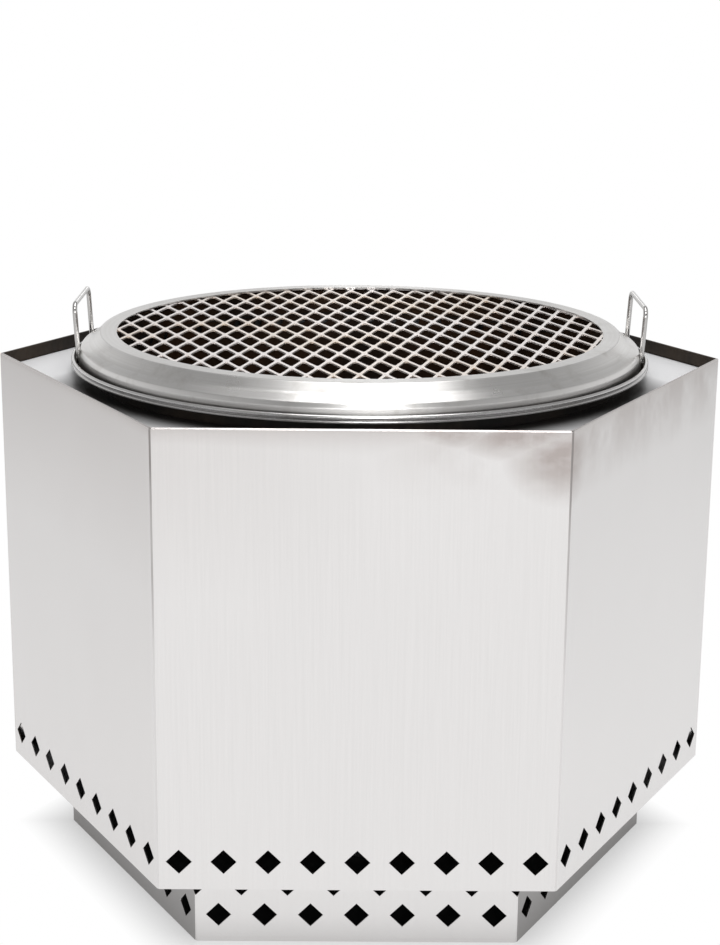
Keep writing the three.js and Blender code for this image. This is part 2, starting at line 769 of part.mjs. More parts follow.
// Wire handle at +X: a flat U with rounded corners, stood up and leant outwards
function wireHandle() {
  const half = handleWidth / 2;
  const corners = [[half, 0], [half, handleHeight], [-half, handleHeight], [-half, 0]]
    .map(([x, y]) => new THREE.Vector2(x, y));
  const section = Array.from({ length: wireSides }, (unused, i) => {
    const angle = (2 * Math.PI * (i + 0.5)) / wireSides;
    return [wireRadius * Math.cos(angle), wireRadius * Math.sin(angle)];
  });
  const out = handleFeet()[0].x;
  return solid(swept(bentRun(corners, handleBendRadius), section)
    .rotateX(Math.PI / 2)
    .rotateZ(Math.PI / 2)
    .rotateY(degToRad(handleLean))
    .translate(out, 0, lidBottom + wireRadius * Math.sin(degToRad(handleLean))));
}

function surround() {
  const group = new THREE.Group();
  const casing = casingHalf();
  const base = baseHalf();
  const casingFront = piece('casing_front', casing, brushedSteel);
  const casingRear = piece('casing_rear', casing, brushedSteel);
  const baseFront = piece('base_front', base, brushedSteel);
  const baseRear = piece('base_rear', base, brushedSteel);
  casingRear.rotation.z = Math.PI;
  baseRear.rotation.z = Math.PI;
  group.add(casingFront, casingRear, baseFront, baseRear);
  group.add(piece('shelf_plate', shelfPlate(), shelfSteel));
  group.add(piece('shelf_collar', shelfCollar(), shelfSteel));
  group.add(piece('floor_tray', floorTray(), galvanisedSteel));
  const [bracket, bolt, nut] = [shelfBracket(), trayBolt(), trayNut()];
  for (let i = 0; i < HEX_FACES; i += 1) {
    const face = FRONT_FACE + i * FACE_TURN;
    const shelfSupport = piece(`shelf_bracket_${i + 1}`, bracket, galvanisedSteel);
    shelfSupport.rotation.z = face - Math.PI / 2;
    group.add(shelfSupport);
    for (const [name, body] of [['tray_bolt', bolt], ['tray_nut', nut]]) {
      const fastener = piece(`${name}_${i + 1}`, body, fastenerSteel);
      fastener.position.set(boltCircle * Math.cos(face), boltCircle * Math.sin(face), 0);
      group.add(fastener);
    }
  }
  const seams = [
    { name: 'casing_rivet', cornerRadius: casingCornerRadius, sheet: casingSheet, heights: casingRivetHeights },
    { name: 'base_rivet', cornerRadius: baseCornerRadius, sheet: baseSheet, heights: baseRivetHeights },
  ];
  for (const { name, cornerRadius, sheet, heights } of seams) {
    const body = seamRivet(sheet);
    for (const [end, side] of [['left', -1], ['right', 1]]) {
      heights.forEach((height, i) => {
        const rivet = piece(`${name}_${end}_${i + 1}`, body, fastenerSteel);
        rivet.rotation.x = Math.PI / 2;
        rivet.position.set(side * (cornerRadius - seamRivetInset), 0, height);
        group.add(rivet);
      });
    }
  }
  return group;
}

function burnDrum() {
  const group = new THREE.Group();
  group.add(piece('drum_outer_wall', drumOuterWall(), galvanisedSteel));
  group.add(piece('drum_floor', drumFloor(), galvanisedSteel));
  group.add(piece('drum_inner_wall', drumInnerWall(), heatedSteel));
  group.add(piece('grate_ledge', grateLedge(), heatedSteel));
  group.add(piece('drum_rim', drumRim(), polishedSteel));
  group.add(piece('ash_pan', ashPan(), heatedSteel));
  group.add(piece('fire_grate', fireGrate(), heatedSteel));
  return group;
}

function grillLid() {
  const group = new THREE.Group();
  group.add(piece('grill_ring', grillRing(), turnedSteel));
  group.add(piece('grille', grille(), grilleSteel));
  group.add(piece('grille_collar', grilleCollar(), turnedSteel));
  const handle = wireHandle();
  const right = piece('handle_right', handle, polishedSteel);
  const left = piece('handle_left', handle, polishedSteel);
  left.rotation.z = Math.PI;
  group.add(right, left);
  return group;
}

const firePit = new THREE.Group();
firePit.add(surround(), burnDrum(), grillLid());

export default firePit;
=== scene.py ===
"""Looks of a smokeless fire pit: stainless surround, burn drum and lift-off grill lid."""

import math

import bpy
from mathutils import Matrix, Vector


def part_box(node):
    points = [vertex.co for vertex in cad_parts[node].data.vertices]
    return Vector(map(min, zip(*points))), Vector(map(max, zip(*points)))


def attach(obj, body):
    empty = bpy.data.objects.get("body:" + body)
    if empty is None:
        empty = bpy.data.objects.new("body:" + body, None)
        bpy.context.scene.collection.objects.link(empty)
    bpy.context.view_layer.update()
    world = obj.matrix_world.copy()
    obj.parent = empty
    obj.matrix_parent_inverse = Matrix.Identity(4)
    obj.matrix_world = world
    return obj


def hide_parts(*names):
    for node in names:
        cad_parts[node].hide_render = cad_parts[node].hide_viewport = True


bl_info = {
    "name": "Smokeless fire pit",
    "version": (1, 0, 0),
    "blender": (4, 5, 0),
    "location": "3D View > Sidebar > Fire pit",
    "description": "Models the sheet-metal pieces of a hexagonal smokeless fire pit",
    "category": "Object",
}

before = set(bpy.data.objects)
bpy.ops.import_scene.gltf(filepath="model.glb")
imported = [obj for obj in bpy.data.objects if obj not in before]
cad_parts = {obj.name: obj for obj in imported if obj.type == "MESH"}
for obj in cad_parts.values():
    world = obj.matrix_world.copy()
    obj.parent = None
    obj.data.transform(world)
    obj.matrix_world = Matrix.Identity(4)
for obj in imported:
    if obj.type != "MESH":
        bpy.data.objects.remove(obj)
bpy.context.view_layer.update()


def low(node):
    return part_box(node)[0]


def high(node):
    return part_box(node)[1]


# One millimetre in metres, and the gap that stands in for two surfaces that touch
MM = 0.001
TOUCH = 0.0003

# Rounding of sheet edges, lift of the seam flanges off the tray, and depth of the vent cutters
EDGE_EASE = 0.2 * MM
SEAM_LIFT = 6 * MM
CUT_THROUGH = 20 * MM

# The six-sided plan, with one flat face to the front
FACES = 6
FACE_TURN = math.radians(60)
CORNER_TURN = math.radians(30)
COS30 = math.cos(CORNER_TURN)
FRONT = math.radians(-90)
FRONT_FACES = (FRONT - FACE_TURN, FRONT, FRONT + FACE_TURN)
TOP_EDGE = high("casing_front").z
BASE_APOTHEM = -low("base_front").y

# Sides of the round pieces
SHELF_SIDES = 160
DRUM_SIDES = 180
LID_SIDES = 200
RIM_SIDES = 256
RING_SIDES = 320
WIRE_SIDES = 20
HOLE_SIDES = 16

# Cosines of the directions that tell level, inward and outward faces apart
LEVEL = 0.93
INWARDS = -0.3
OUTWARDS = 0.97

# Part of a noise's range that most of its values lie in
MIDDLE = (0.3, 0.7)

# Place, reach and upward flattening of each smudge on the casing
SMUDGES = (
    ((0.163, -0.3, 0.466), 0.05, 1.1),
    ((0.125, -0.3, 0.482), 0.058, 2.6),
    ((0.146, -0.3, 0.483), 0.048, 2.2),
    ((0.077, -0.3, 0.485), 0.05, 3.2),
)
SMUDGE_STRENGTH = 1.45

# Plan position of one bond of the expanded metal, and the width of the edge without gaps
BOND = (-19.2 * MM, -116.8 * MM)
MESH_BORDER = 3 * MM

# Place, target, width, height and watts of each lamp
LAMPS = {
    "lamp_overhead": ((0.15, 0.75, 3.2), (0.15, 0.75, 0), 1.25, 1.4, 17),
    "lamp_above_front": ((0.15, -0.35, 3.2), (0.15, -0.35, 0), 2.0, 0.8, 16),
    "lamp_left": ((-1.15, 0.35, 3.2), (-1.15, 0.35, 0), 0.6, 2.2, 1.5),
    "lamp_behind": ((0.05, 6.0, 1.9), (0, 0, 0.5), 0.5, 0.6, 1.6),
    "lamp_key": ((0.25, -2.3, 3.3), (0, 0, 0.4), 1.2, 1.0, 32),
    "lamp_low": ((0.45, -4.0, 1.05), (0.45, 0, 0.9), 3.2, 0.6, 18),
    "lamp_front": ((0.4, -4.0, 1.6), (0, 0, 0.4), 1.2, 1.2, 24),
}
FLOOR_RADIUS = 14


def length(name, description, default):
    """A length that a user may change."""
    return bpy.props.FloatProperty(
        name=name, description=description, default=default, unit="LENGTH", precision=4
    )


def count(name, description, default):
    return bpy.props.IntProperty(name=name, description=description, default=default, min=2)


def angle(name, description, degrees):
    return bpy.props.FloatProperty(
        name=name, description=description, default=math.radians(degrees),
        subtype="ANGLE", unit="ROTATION",
    )


def colour(name, description, default):
    return bpy.props.FloatVectorProperty(
        name=name, description=description, default=default, subtype="COLOR", min=0, max=1
    )


class FIREPIT_SurroundSizes(bpy.types.PropertyGroup):
    """Sizes of the casing, the base and the shelf"""

    sheet: length("Casing sheet", "Thickness of the casing's sheet", 1.2 * MM)
    bend: length("Bend radius", "Outside radius of the bends", 3 * MM)
    hem: length("Hem", "Thickness of the folded top edge", 2.8 * MM)
    hem_height: length("Hem height", "Height of the folded strip", 12 * MM)
    vent: length("Vent diagonal", "Corner to corner of a square vent", 22.6 * MM)
    vent_margin: length("Vent margin", "From a corner to the nearest casing vent", 18.5 * MM)
    vent_height: length("Casing vent height", "Above the casing's bottom edge", 26 * MM)
    casing_vents: count("Casing vents", "Vents on one face of the casing", 9)
    base_sheet: length("Base sheet", "Thickness of the base's sheet", 1.5 * MM)
    base_vents: count("Base vents", "Vents in the lower row of one base face", 7)
    base_low_row: length("Lower vent row", "Height of the base's lower row", 26.4 * MM)
    base_high_row: length("Upper vent row", "Height of the base's upper row", 56.4 * MM)
    foot_flange: length("Foot flange", "Width of the flange on the ground", 22 * MM)
    top_flange: length("Top flange", "Width of the flange under the tray", 28 * MM)
    seam_flange: length("Seam flange", "Reach of the flanges at the two seams", 20 * MM)
    relief: length("Corner relief", "Cut off each corner of the shelf", 4 * MM)


class FIREPIT_DrumSizes(bpy.types.PropertyGroup):
    """Sizes of the burn drum and its rim"""

    sheet: length("Drum sheet", "Thickness of the drum's sheet", 1.2 * MM)
    flange: length("Top flange", "Width of the outer wall's flange under the rim", 6 * MM)
    burn_holes: count("Burn holes", "Holes round the top of the inner wall", 60)
    burn_hole: length("Burn hole", "Radius of a burn hole", 4 * MM)
    burn_hole_drop: length("Burn hole drop", "From the top of the wall to a burn hole", 5.8 * MM)
    intakes: count("Air intakes", "Holes round the foot of the outer wall", 12)
    intake: length("Air intake", "Radius of an air intake", 8 * MM)
    intake_height: length("Intake height", "From the wall's foot to an air intake", 23.7 * MM)
    roll: length("Rolled edge", "Radius of the rolled edge of the floor", 1.2 * MM)
    bead: length("Bead width", "Width of the double bead", 3.6 * MM)
    upper_bead: length("Upper bead", "Radius of the bead's upper round", 2 * MM)
    lower_bead: length("Lower bead", "Radius of the bead's lower round", 1.3 * MM)
    crease: length("Crease", "Depth of the crease between the two rounds", 1.1 * MM)
    crease_rise: length("Crease rise", "From the lower round up to the crease", 0.25 * MM)


def bend_point(name, inset, height, radius):
    """Inset from the ring's edge, height above the rim and bend radius of one corner."""
    return bpy.props.FloatVectorProperty(
        name=name, description=f"Inset, height and radius of the {name.lower()}",
        default=(inset, height, radius), subtype="XYZ", unit="LENGTH", precision=4,
    )


class FIREPIT_LidSizes(bpy.types.PropertyGroup):
    """Sizes of the ring, the grille and the handles"""

    ring_sheet: length("Ring sheet", "Thickness of the raised ring", 1.2 * MM)
    band_top: bend_point("Band top", 0.6 * MM, 10.3 * MM, 6 * MM)
    shoulder: bend_point("Shoulder", 2.1 * MM, 14.5 * MM, 3 * MM)
    lip_foot: bend_point("Foot of the lip", 11.7 * MM, 19.4 * MM, 14 * MM)
    lip_inset: length("Lip inset", "From the ring's edge to the top of the lip", 20.2 * MM)
    lip_bend: length("Lip bend", "Radius at the top of the lip", 2.5 * MM)
    mouth_inset: length("Mouth inset", "From the ring's edge to its opening", 35.7 * MM)
    skirt: length("Skirt radius", "Inner radius of the skirt", 236 * MM)
    skirt_bend: length("Skirt bend", "Outer bend of the skirt", 2.5 * MM)
    skirt_inner_bend: length("Skirt inner bend", "Inner bend of the skirt", 1.3 * MM)
    strand: length("Strand", "Width of a strand of the grille", 3.2 * MM)
    short_way: length("Short way", "Short diagonal of a gap, bond to bond", 22.6 * MM)
    long_way: length("Long way", "Long diagonal of a gap, bond to bond", 60.9 * MM)
    mesh_turn: angle("Mesh turn", "Turn of the mesh in its ring", 4)
    hoop: length("Hoop", "Width of the hoop round the grille", 5 * MM)
    sharp_corner: length("Sharp corner", "Rounding of a gap's sharp corners", 4 * MM)
    blunt_corner: length("Blunt corner", "Rounding of a gap's blunt corners", 4.5 * MM)
    clipped_corner: length("Clipped corner", "Rounding of the gaps at the border", 1.2 * MM)
    strand_ease: length("Strand edge", "Rounding of the edges of a strand", 0.5 * MM)
    wire: length("Handle wire", "Radius of the handle wire", 2.3 * MM)
    handle_width: length("Handle width", "Between the two legs of a handle", 98 * MM)
    handle_rise: length("Handle rise", "Height of a handle above its foot", 56.2 * MM)
    bend: length("Handle bend", "Radius of the wire's bends", 8 * MM)
    lean: angle("Handle lean", "Outward lean of the handles", 3)
    notch_depth: length("Notch depth", "Depth of the cut for a handle's leg", 4.6 * MM)
    notch_height: length("Notch height", "Height of the cutter for a leg", 29 * MM)


class FIREPIT_Finishes(bpy.types.PropertyGroup):
    """Colours of the finishes and of the painted shade"""

    sheet: colour("Satin sheet", "Casing and base", (0.788, 0.773, 0.767))
    shelf: colour("Shelf", "Smooth sheet of the shelf", (0.84, 0.84, 0.85))
    turned: colour("Turned ring", "Raised ring of the lid", (0.72, 0.71, 0.70))
    polished: colour("Polished", "Bead of the rim", (0.80, 0.80, 0.80))
    wire: colour("Wire", "Handles", (0.52, 0.51, 0.50))
    mesh: colour("Grille", "Expanded metal", (0.98, 0.93, 0.91))
    soot: colour("Heated sheet", "Inside of the drum", (0.035, 0.022, 0.015))
    # Painted shade: the near-black sheet on the inward faces of the surround
    inner: colour("Inner sheet", "Inward faces of the surround", (0.03, 0.029, 0.028))
    # Painted shade along the outer side of the casing's bends
    bend: colour("Bend line", "Rubbed bends of the casing", (0.32, 0.30, 0.29))
    # Painted shade on the slanted side faces of the base
    shade: colour("Shaded sheet", "Slanted faces of the base", (0.36, 0.35, 0.345))
    mill: colour("Mill sheet", "Hidden sheet", (0.25, 0.25, 0.25))


def cleared():
    """Leaves edit mode with nothing selected."""
    if bpy.context.object and bpy.context.object.mode != "OBJECT":
        bpy.ops.object.mode_set(mode="OBJECT")
    bpy.ops.object.select_all(action="DESELECT")


def only(obj):
    """Leaves only this object selected and active, in object mode."""
    cleared()
    obj.select_set(True)
    bpy.context.view_layer.objects.active = obj
    return obj


def added(primitive, **options):
    """Adds a primitive with nothing else selected, and takes its place into its mesh."""
    cleared()
    primitive(**options)
    bpy.ops.object.transform_apply(location=True, rotation=True, scale=True)
    return bpy.context.object


def placed(obj, place=(0, 0, 0), turn=(0, 0, 0), scale=(1, 1, 1)):
    """Scales, turns and moves an object, and takes that into its mesh."""
    only(obj)
    obj.location, obj.rotation_euler, obj.scale = place, turn, scale
    bpy.ops.object.transform_apply(location=True, rotation=True, scale=True)
    return obj


def editing(obj, kind="VERT"):
    """Opens the object in edit mode with nothing selected."""
    only(obj)
    bpy.ops.object.mode_set(mode="EDIT")
    bpy.context.tool_settings.mesh_select_mode = tuple(kind == k for k in ("VERT", "EDGE", "FACE"))
    bpy.ops.mesh.select_all(action="DESELECT")


def worked(obj, action, **options):
    """Runs an edit mode operator on the whole mesh."""
    editing(obj)
    bpy.ops.mesh.select_all(action="SELECT")
    action(**options)
    bpy.ops.object.mode_set(mode="OBJECT")
    return obj


def pick(obj, kind, test):
    """Opens the object in edit mode with the edges or faces that pass the test selected."""
    editing(obj, kind)
    bpy.ops.object.mode_set(mode="OBJECT")
    for item in {"EDGE": obj.data.edges, "FACE": obj.data.polygons}[kind]:
        item.select = bool(test(item))
    bpy.ops.object.mode_set(mode="EDIT")


def worked_where(obj, kind, test, action, **options):
    """Runs an edit mode operator on the edges or faces that pass the test."""
    pick(obj, kind, test)
    action(**options)
    bpy.ops.object.mode_set(mode="OBJECT")
    return obj


def sealed(obj):
    """Merges doubles and turns every face outwards."""
    worked(obj, bpy.ops.mesh.remove_doubles, threshold=MM / 1000)
    return worked(obj, bpy.ops.mesh.normals_make_consistent, inside=False)


def modified(obj, kind, **settings):
    """Adds a modifier and applies it."""
    only(obj)
    modifier = obj.modifiers.new(kind.title(), kind)
    for name, value in settings.items():
        setattr(modifier, name, value)
    bpy.ops.object.modifier_apply(modifier=modifier.name)
    return obj


def joined(objects):
    """Joins objects into the first one."""
    only(objects[0])
    for obj in objects[1:]:
        obj.select_set(True)
    bpy.ops.object.join()
    return bpy.context.object


def half_turned(obj):
    """A copy with its own mesh, turned half round the axis."""
    only(obj)
    bpy.ops.object.duplicate()
    return placed(bpy.context.object, turn=(0, 0, math.pi))


def combined(obj, tool, operation):
    """Cuts the tool out of the object, or joins or intersects them, and removes the tool."""
    modified(obj, "BOOLEAN", object=tool, operation=operation, solver="EXACT")
    bpy.data.objects.remove(tool)
    return obj


def eased(obj, width, sharpest=35):
    """Takes the sharpness off every edge."""
    return modified(
        obj, "BEVEL", width=width, segments=2, limit_method="ANGLE",
        angle_limit=math.radians(sharpest), use_clamp_overlap=True,
    )


def ends(obj, edge):
    """The two ends of an edge."""
    return [obj.data.vertices[i].co for i in edge.vertices]


def plan(point):
    """A point seen from above."""
    return Vector(point[:2])


def arc(centre, radius, start, end, steps):
    """Points of an arc from one angle to another, in degrees."""
    points = []
    for i in range(steps + 1):
        turn = math.radians(start + (end - start) * i / steps)
        points.append((centre[0] + radius * math.cos(turn), centre[1] + radius * math.sin(turn)))
    return points


def filleted(points, radii, steps=5):
    """The line through the points, with each inner corner rounded by its radius."""
    line = [Vector(points[0])]
    for before, corner, after, radius in zip(points, points[1:], points[2:], radii):
        corner = Vector(corner)
        to_before = (Vector(before) - corner).normalized()
        to_after = (Vector(after) - corner).normalized()
        half = to_before.angle(to_after) / 2
        centre = corner + (to_before + to_after).normalized() * (radius / math.sin(half))
        start = corner + to_before * (radius / math.tan(half)) - centre
        sweep = math.pi - 2 * half
        turn = 1 if to_before.cross(to_after) < 0 else -1
        for i in range(steps + 1):
            line.append(centre + Matrix.Rotation(turn * sweep * i / steps, 2) @ start)
    line.append(Vector(points[-1]))
    return [tuple(point) for point in line]


def carried(line, sides, closed=True, turn=0.0):
    """A circle or polygon carried along a line of (radius, height) by extrude, scale and move."""
    radius, height = line[0]
    obj = added(
        bpy.ops.mesh.primitive_circle_add, vertices=sides, radius=radius,
        location=(0, 0, height), rotation=(0, 0, turn),
    )
    editing(obj)
    bpy.ops.mesh.select_all(action="SELECT")
    for next_radius, next_height in line[1:] + (line[:1] if closed else []):
        step = (0, 0, next_height - height)
        bpy.ops.mesh.extrude_region_move(TRANSFORM_OT_translate={"value": step})
        factor = next_radius / radius
        bpy.ops.transform.resize(value=(factor, factor, 1), center_override=(0, 0, 0))
        radius, height = next_radius, next_height
    bpy.ops.object.mode_set(mode="OBJECT")
    return sealed(obj)


def round_bar(radius, depth, place, sides, turn=(0, 0, 0)):
    """A bar with its middle at the place."""
    return added(
        bpy.ops.mesh.primitive_cylinder_add, vertices=sides, radius=radius, depth=depth,
        rotation=turn, location=place,
    )


def hexagon_wall(corner_radius, section, sheet, bend):
    """A six-sided wall of one closed section of (inset, height), its corners bent round."""
    line = [(corner_radius - inset / COS30, height) for inset, height in section]
    obj = carried(line, FACES, turn=CORNER_TURN)

    def on_bent_corner(edge):
        a, b = ends(obj, edge)
        along_corner = abs(a.x * b.y - a.y * b.x) < MM * MM
        at_seam = abs(a.y) <= sheet
        return along_corner and not at_seam

    return worked_where(
        obj, "EDGE", on_bent_corner, bpy.ops.mesh.bevel,
        offset=bend * math.tan(CORNER_TURN), segments=5, affect="EDGES",
    )


def front_half(obj):
    """Keeps what lies in front of the two seams."""
    worked(
        obj, bpy.ops.mesh.bisect,
        plane_co=(0, -TOUCH / 2, 0), plane_no=(0, 1, 0), use_fill=True, clear_outer=True,
    )
    return sealed(obj)


def vent_cutter(direction, distance, along, height, diagonal):
    """A square bar standing on its corner, through the wall that faces the direction."""
    across = Vector((-math.sin(direction), math.cos(direction), 0))
    out = Vector((math.cos(direction), math.sin(direction), 0))
    place = out * distance + across * along
    place.z = height
    return round_bar(
        diagonal / 2, CUT_THROUGH, place, 4, (math.pi / 2, 0, direction - FRONT)
    )


def vent_row(corner_radius, pitch, vents, height, diagonal):
    """Cutters for a row of vents on each of the three front faces."""
    return [
        vent_cutter(face, corner_radius * COS30, pitch * (i - (vents - 1) / 2), height, diagonal)
        for face in FRONT_FACES for i in range(vents)
    ]


def seam_plate(side, corner_radius, reach, sheet, bottom, top):
    """Inward flange of a front half at a seam."""
    outer = corner_radius - sheet / 2
    inner = corner_radius - reach
    return added(
        bpy.ops.mesh.primitive_cube_add, size=1,
        location=(side * (outer + inner) / 2, -(TOUCH + sheet) / 2, (bottom + top) / 2),
        scale=(outer - inner, sheet, top - bottom),
    )


def drilled(wall, holes, shift, radius, height, reach):
    """Drills a ring of holes through an upright round wall, two with each bar across it."""
    for i in range(holes // 2):
        turn = (math.pi / 2, 0, math.tau * (i + shift) / holes)
        bar = round_bar(radius, 2 * reach + CUT_THROUGH, (0, 0, height), HOLE_SIDES, turn)
        combined(wall, bar, "DIFFERENCE")


def kept(obj, name, body, slot, finish, *nodes, smooth=32):
    """Names a finished piece, gives it its material and attaches it to its body."""
    if not obj.data.polygons:
        raise RuntimeError(f"{name} came out empty")
    only(obj)
    obj.name = name
    obj.data.name = name
    obj.data.materials.clear()
    obj.data.materials.append(material(finish))
    bpy.ops.object.shade_smooth_by_angle(angle=math.radians(smooth))
    modified(obj, "WEIGHTED_NORMAL", weight=50, keep_sharp=True)
    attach(obj, body)
    if nodes:
        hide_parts(*nodes)
    return obj


def dabbed(obj, finish, test):
    """Gives the faces that pass the test a second finish."""
    obj.data.materials.append(material(finish))
    obj.active_material_index = len(obj.data.materials) - 1
    return worked_where(obj, "FACE", test, bpy.ops.object.material_slot_assign)


def dressed(node, finish):
    """Gives a CAD node that stays its material."""
    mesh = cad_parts[node].data
    mesh.materials.clear()
    mesh.materials.append(material(finish))


def outwardness(face):
    """Cosine between a face's normal and the way out from the axis."""
    return face.normal.dot(Vector((face.center.x, face.center.y, 0)).normalized())


def lies_level(face, least=LEVEL):
    return abs(face.normal.z) >= least


def faces_inwards(face):
    """Whether an upright face looks towards the axis."""
    return outwardness(face) < INWARDS and not lies_level(face)


def on_bend(corner_radius):
    """A test for the outer faces of the bends at that corner radius."""
    nearest = corner_radius * 0.985

    def chosen(face):
        return outwardness(face) > OUTWARDS and plan(face.center).length > nearest
    return chosen


def front_and_rear(half, piece, dabs):
    """Hands over the front half of a wall, and its copy as the rear half."""
    for panel, side in ((half, "front"), (half_turned(half), "rear")):
        kept(panel, f"{piece}_{side}_panel", "surround", "casing", "satin_sheet", f"{piece}_{side}")
        for finish, test in dabs:
            dabbed(panel, finish, test)


class Nodes:
    """Adds nodes to a node tree and links them."""

    def __init__(self, tree):
        self.tree = tree

    def join(self, value, socket):
        """Links another node's output to the socket, or gives the socket a plain value."""
        if isinstance(value, bpy.types.NodeSocket):
            self.tree.links.new(value, socket)
        else:
            socket.default_value = value

    def node(self, kind, links=None, **settings):
        made = self.tree.nodes.new(kind)
        for name, value in settings.items():
            setattr(made, name, value)
        for socket, value in (links or {}).items():
            self.join(value, made.inputs[socket])
        return made

    def ranged(self, value, from_low, from_high, to_low, to_high):
        made = self.node("ShaderNodeMapRange", {
            "Value": value, "From Min": from_low, "From Max": from_high,
            "To Min": to_low, "To Max": to_high,
        })
        return made.outputs["Result"]

    def ramp(self, value, *stops):
        """A grey that follows the value through stops of (value, grey)."""
        made = self.node("ShaderNodeValToRGB", {0: value})
        elements = made.color_ramp.elements
        elements[0].position, elements[1].position = stops[0][0], stops[-1][0]
        for position, _ in stops[1:-1]:
            elements.new(position)
        for element, (_, grey) in zip(elements, stops):
            element.color = (grey, grey, grey, 1)
        return made.outputs["Color"]

    def combined(self, operation, first, *values):
        for value in values:
            first = self.node("ShaderNodeMath", {0: first, 1: value}, operation=operation).outputs[0]
        return first

    def total(self, *values):
        return self.combined("ADD", *values)

    def product(self, *values):
        return self.combined("MULTIPLY", *values)

    def largest(self, *values):
        return self.combined("MAXIMUM", *values)

    def size(self, value):
        """The value without its sign."""
        return self.node("ShaderNodeMath", {0: value}, operation="ABSOLUTE").outputs[0]

    def blend(self, share, first, second, how="MIX"):
        made = self.node(
            "ShaderNodeMix", {0: share, 6: first, 7: second}, data_type="RGBA", blend_type=how
        )
        return made.outputs[2]


class Finish(Nodes):
    """A material under construction, its patterns fixed to the object's own coordinates."""

    def __init__(self, name, base, roughness, metallic=1.0):
        self.material = bpy.data.materials.new(name)
        self.material.use_nodes = True
        super().__init__(self.material.node_tree)
        self.shader = self.tree.nodes["Principled BSDF"]
        self.shader.inputs["Base Color"].default_value = (*base, 1)
        self.shader.inputs["Roughness"].default_value = roughness
        self.shader.inputs["Metallic"].default_value = metallic
        self.place = self.tree.nodes.new("ShaderNodeTexCoord").outputs["Object"]
        self.bumps = None

    def axis(self, name):
        """Place along X, Y or Z."""
        return self.node("ShaderNodeSeparateXYZ", {"Vector": self.place}).outputs[name]

    def distance(self, place):
        """Length of a vector."""
        return self.node("ShaderNodeVectorMath", {0: place}, operation="LENGTH").outputs["Value"]

    def radius(self):
        """Distance from the axis."""
        flat = self.node("ShaderNodeCombineXYZ", {"X": self.axis("X"), "Y": self.axis("Y")})
        return self.distance(flat.outputs["Vector"])

    def stretched(self, scale, place=None):
        mapping = self.node("ShaderNodeMapping", {"Vector": place or self.place, "Scale": scale})
        return mapping.outputs["Vector"]

    def noise(self, scale, detail=3.0, roughness=0.5, place=None):
        """Noise with that many waves to the metre along each axis."""
        links = {
            "Vector": self.stretched(scale, place), "Scale": 1.0, "Detail": detail,
            "Roughness": roughness,
        }
        return self.node("ShaderNodeTexNoise", links).outputs["Fac"]

    def near(self, place, reach, flatten):
        """One at the place, falling to zero at that reach, sooner upwards by the flattening."""
        offset = self.node("ShaderNodeVectorMath", {0: self.place, 1: place}, operation="SUBTRACT")
        links = {0: offset.outputs["Vector"], 1: (1, 1, flatten)}
        pressed = self.node("ShaderNodeVectorMath", links, operation="MULTIPLY")
        return self.ranged(self.distance(pressed.outputs["Vector"]), 0.0, reach, 1.0, 0.0)

    def feed(self, name, value):
        self.join(value, self.shader.inputs[name])

    def bump(self, height, depth, strength):
        links = {"Height": height, "Distance": depth, "Strength": strength}
        if self.bumps:
            links["Normal"] = self.bumps
        self.bumps = self.node("ShaderNodeBump", links).outputs["Normal"]
        self.feed("Normal", self.bumps)


def toned(base, red, green, blue):
    """The base colour with each channel scaled."""
    return (base[0] * red, base[1] * green, base[2] * blue, 1)


def satin_sheet(name, base, roughness, smudge_and_shade):
    """Satin sheet: fine upright grain, slow waves, smudges that gather near the top edge, and painted
    shade on the upper left and the left face, all as strong as the last argument.
    """
    finish = Finish(name, base, roughness)
    height, across = finish.axis("Z"), finish.axis("X")
    left_corner = -high("casing_front").x / 2
    grain = finish.noise((1100, 1100, 12), 2.0)
    wave = finish.noise((5, 5, 3.2), 1.0)
    smudge = finish.noise((9, 9, 7), 6.0, 0.62)
    streak = finish.noise((24, 24, 40), 4.0)

    patches = finish.product(
        finish.ranged(height, TOP_EDGE - 62 * MM, TOP_EDGE - 7 * MM, 0.0, smudge_and_shade),
        finish.ranged(smudge, 0.40, 0.58, 0.0, 0.7),
        finish.ranged(across, 0.0, 140 * MM, 0.1, 1.0),
    )
    lip = finish.ranged(height, TOP_EDGE - 32 * MM, TOP_EDGE - 1 * MM, 0.0, 0.58 * smudge_and_shade)
    spots = finish.product(
        finish.largest(*(
            finish.product(finish.near(place, reach, flatten), SMUDGE_STRENGTH * smudge_and_shade)
            for place, reach, flatten in SMUDGES
        )),
        finish.ranged(streak, 0.36, 0.56, 0.6, 1.0),
    )
    # Painted shade: the left of the casing darker towards the top edge
    upper_left_shade = finish.product(
        finish.ranged(across, -220 * MM, 50 * MM, 1.0, 0.0),
        finish.ranged(height, TOP_EDGE - 147 * MM, TOP_EDGE, 0.0, 0.3 * smudge_and_shade),
    )
    # Painted shade: the left face a little darker all over
    left_face_shade = finish.ranged(
        across, left_corner - 3.5 * MM, left_corner + 0.5 * MM, 0.09 * smudge_and_shade, 0.0
    )
    share = finish.largest(
        patches, finish.product(lip, lip, 2.0), spots, finish.total(upper_left_shade, left_face_shade)
    )
    tint = finish.blend(share, (*base, 1), toned(base, 0.60, 0.55, 0.53))
    finish.feed("Base Color", finish.blend(
        finish.ranged(grain, *MIDDLE, 0.0, 0.3), tint, (0.92, 0.92, 0.92, 1), "MULTIPLY"
    ))
    finish.feed("Roughness", finish.ranged(smudge, *MIDDLE, roughness - 0.04, roughness + 0.05))
    finish.bump(wave, 3 * MM, 0.2)
    finish.bump(grain, 0.015 * MM, 0.25)
    return finish.material


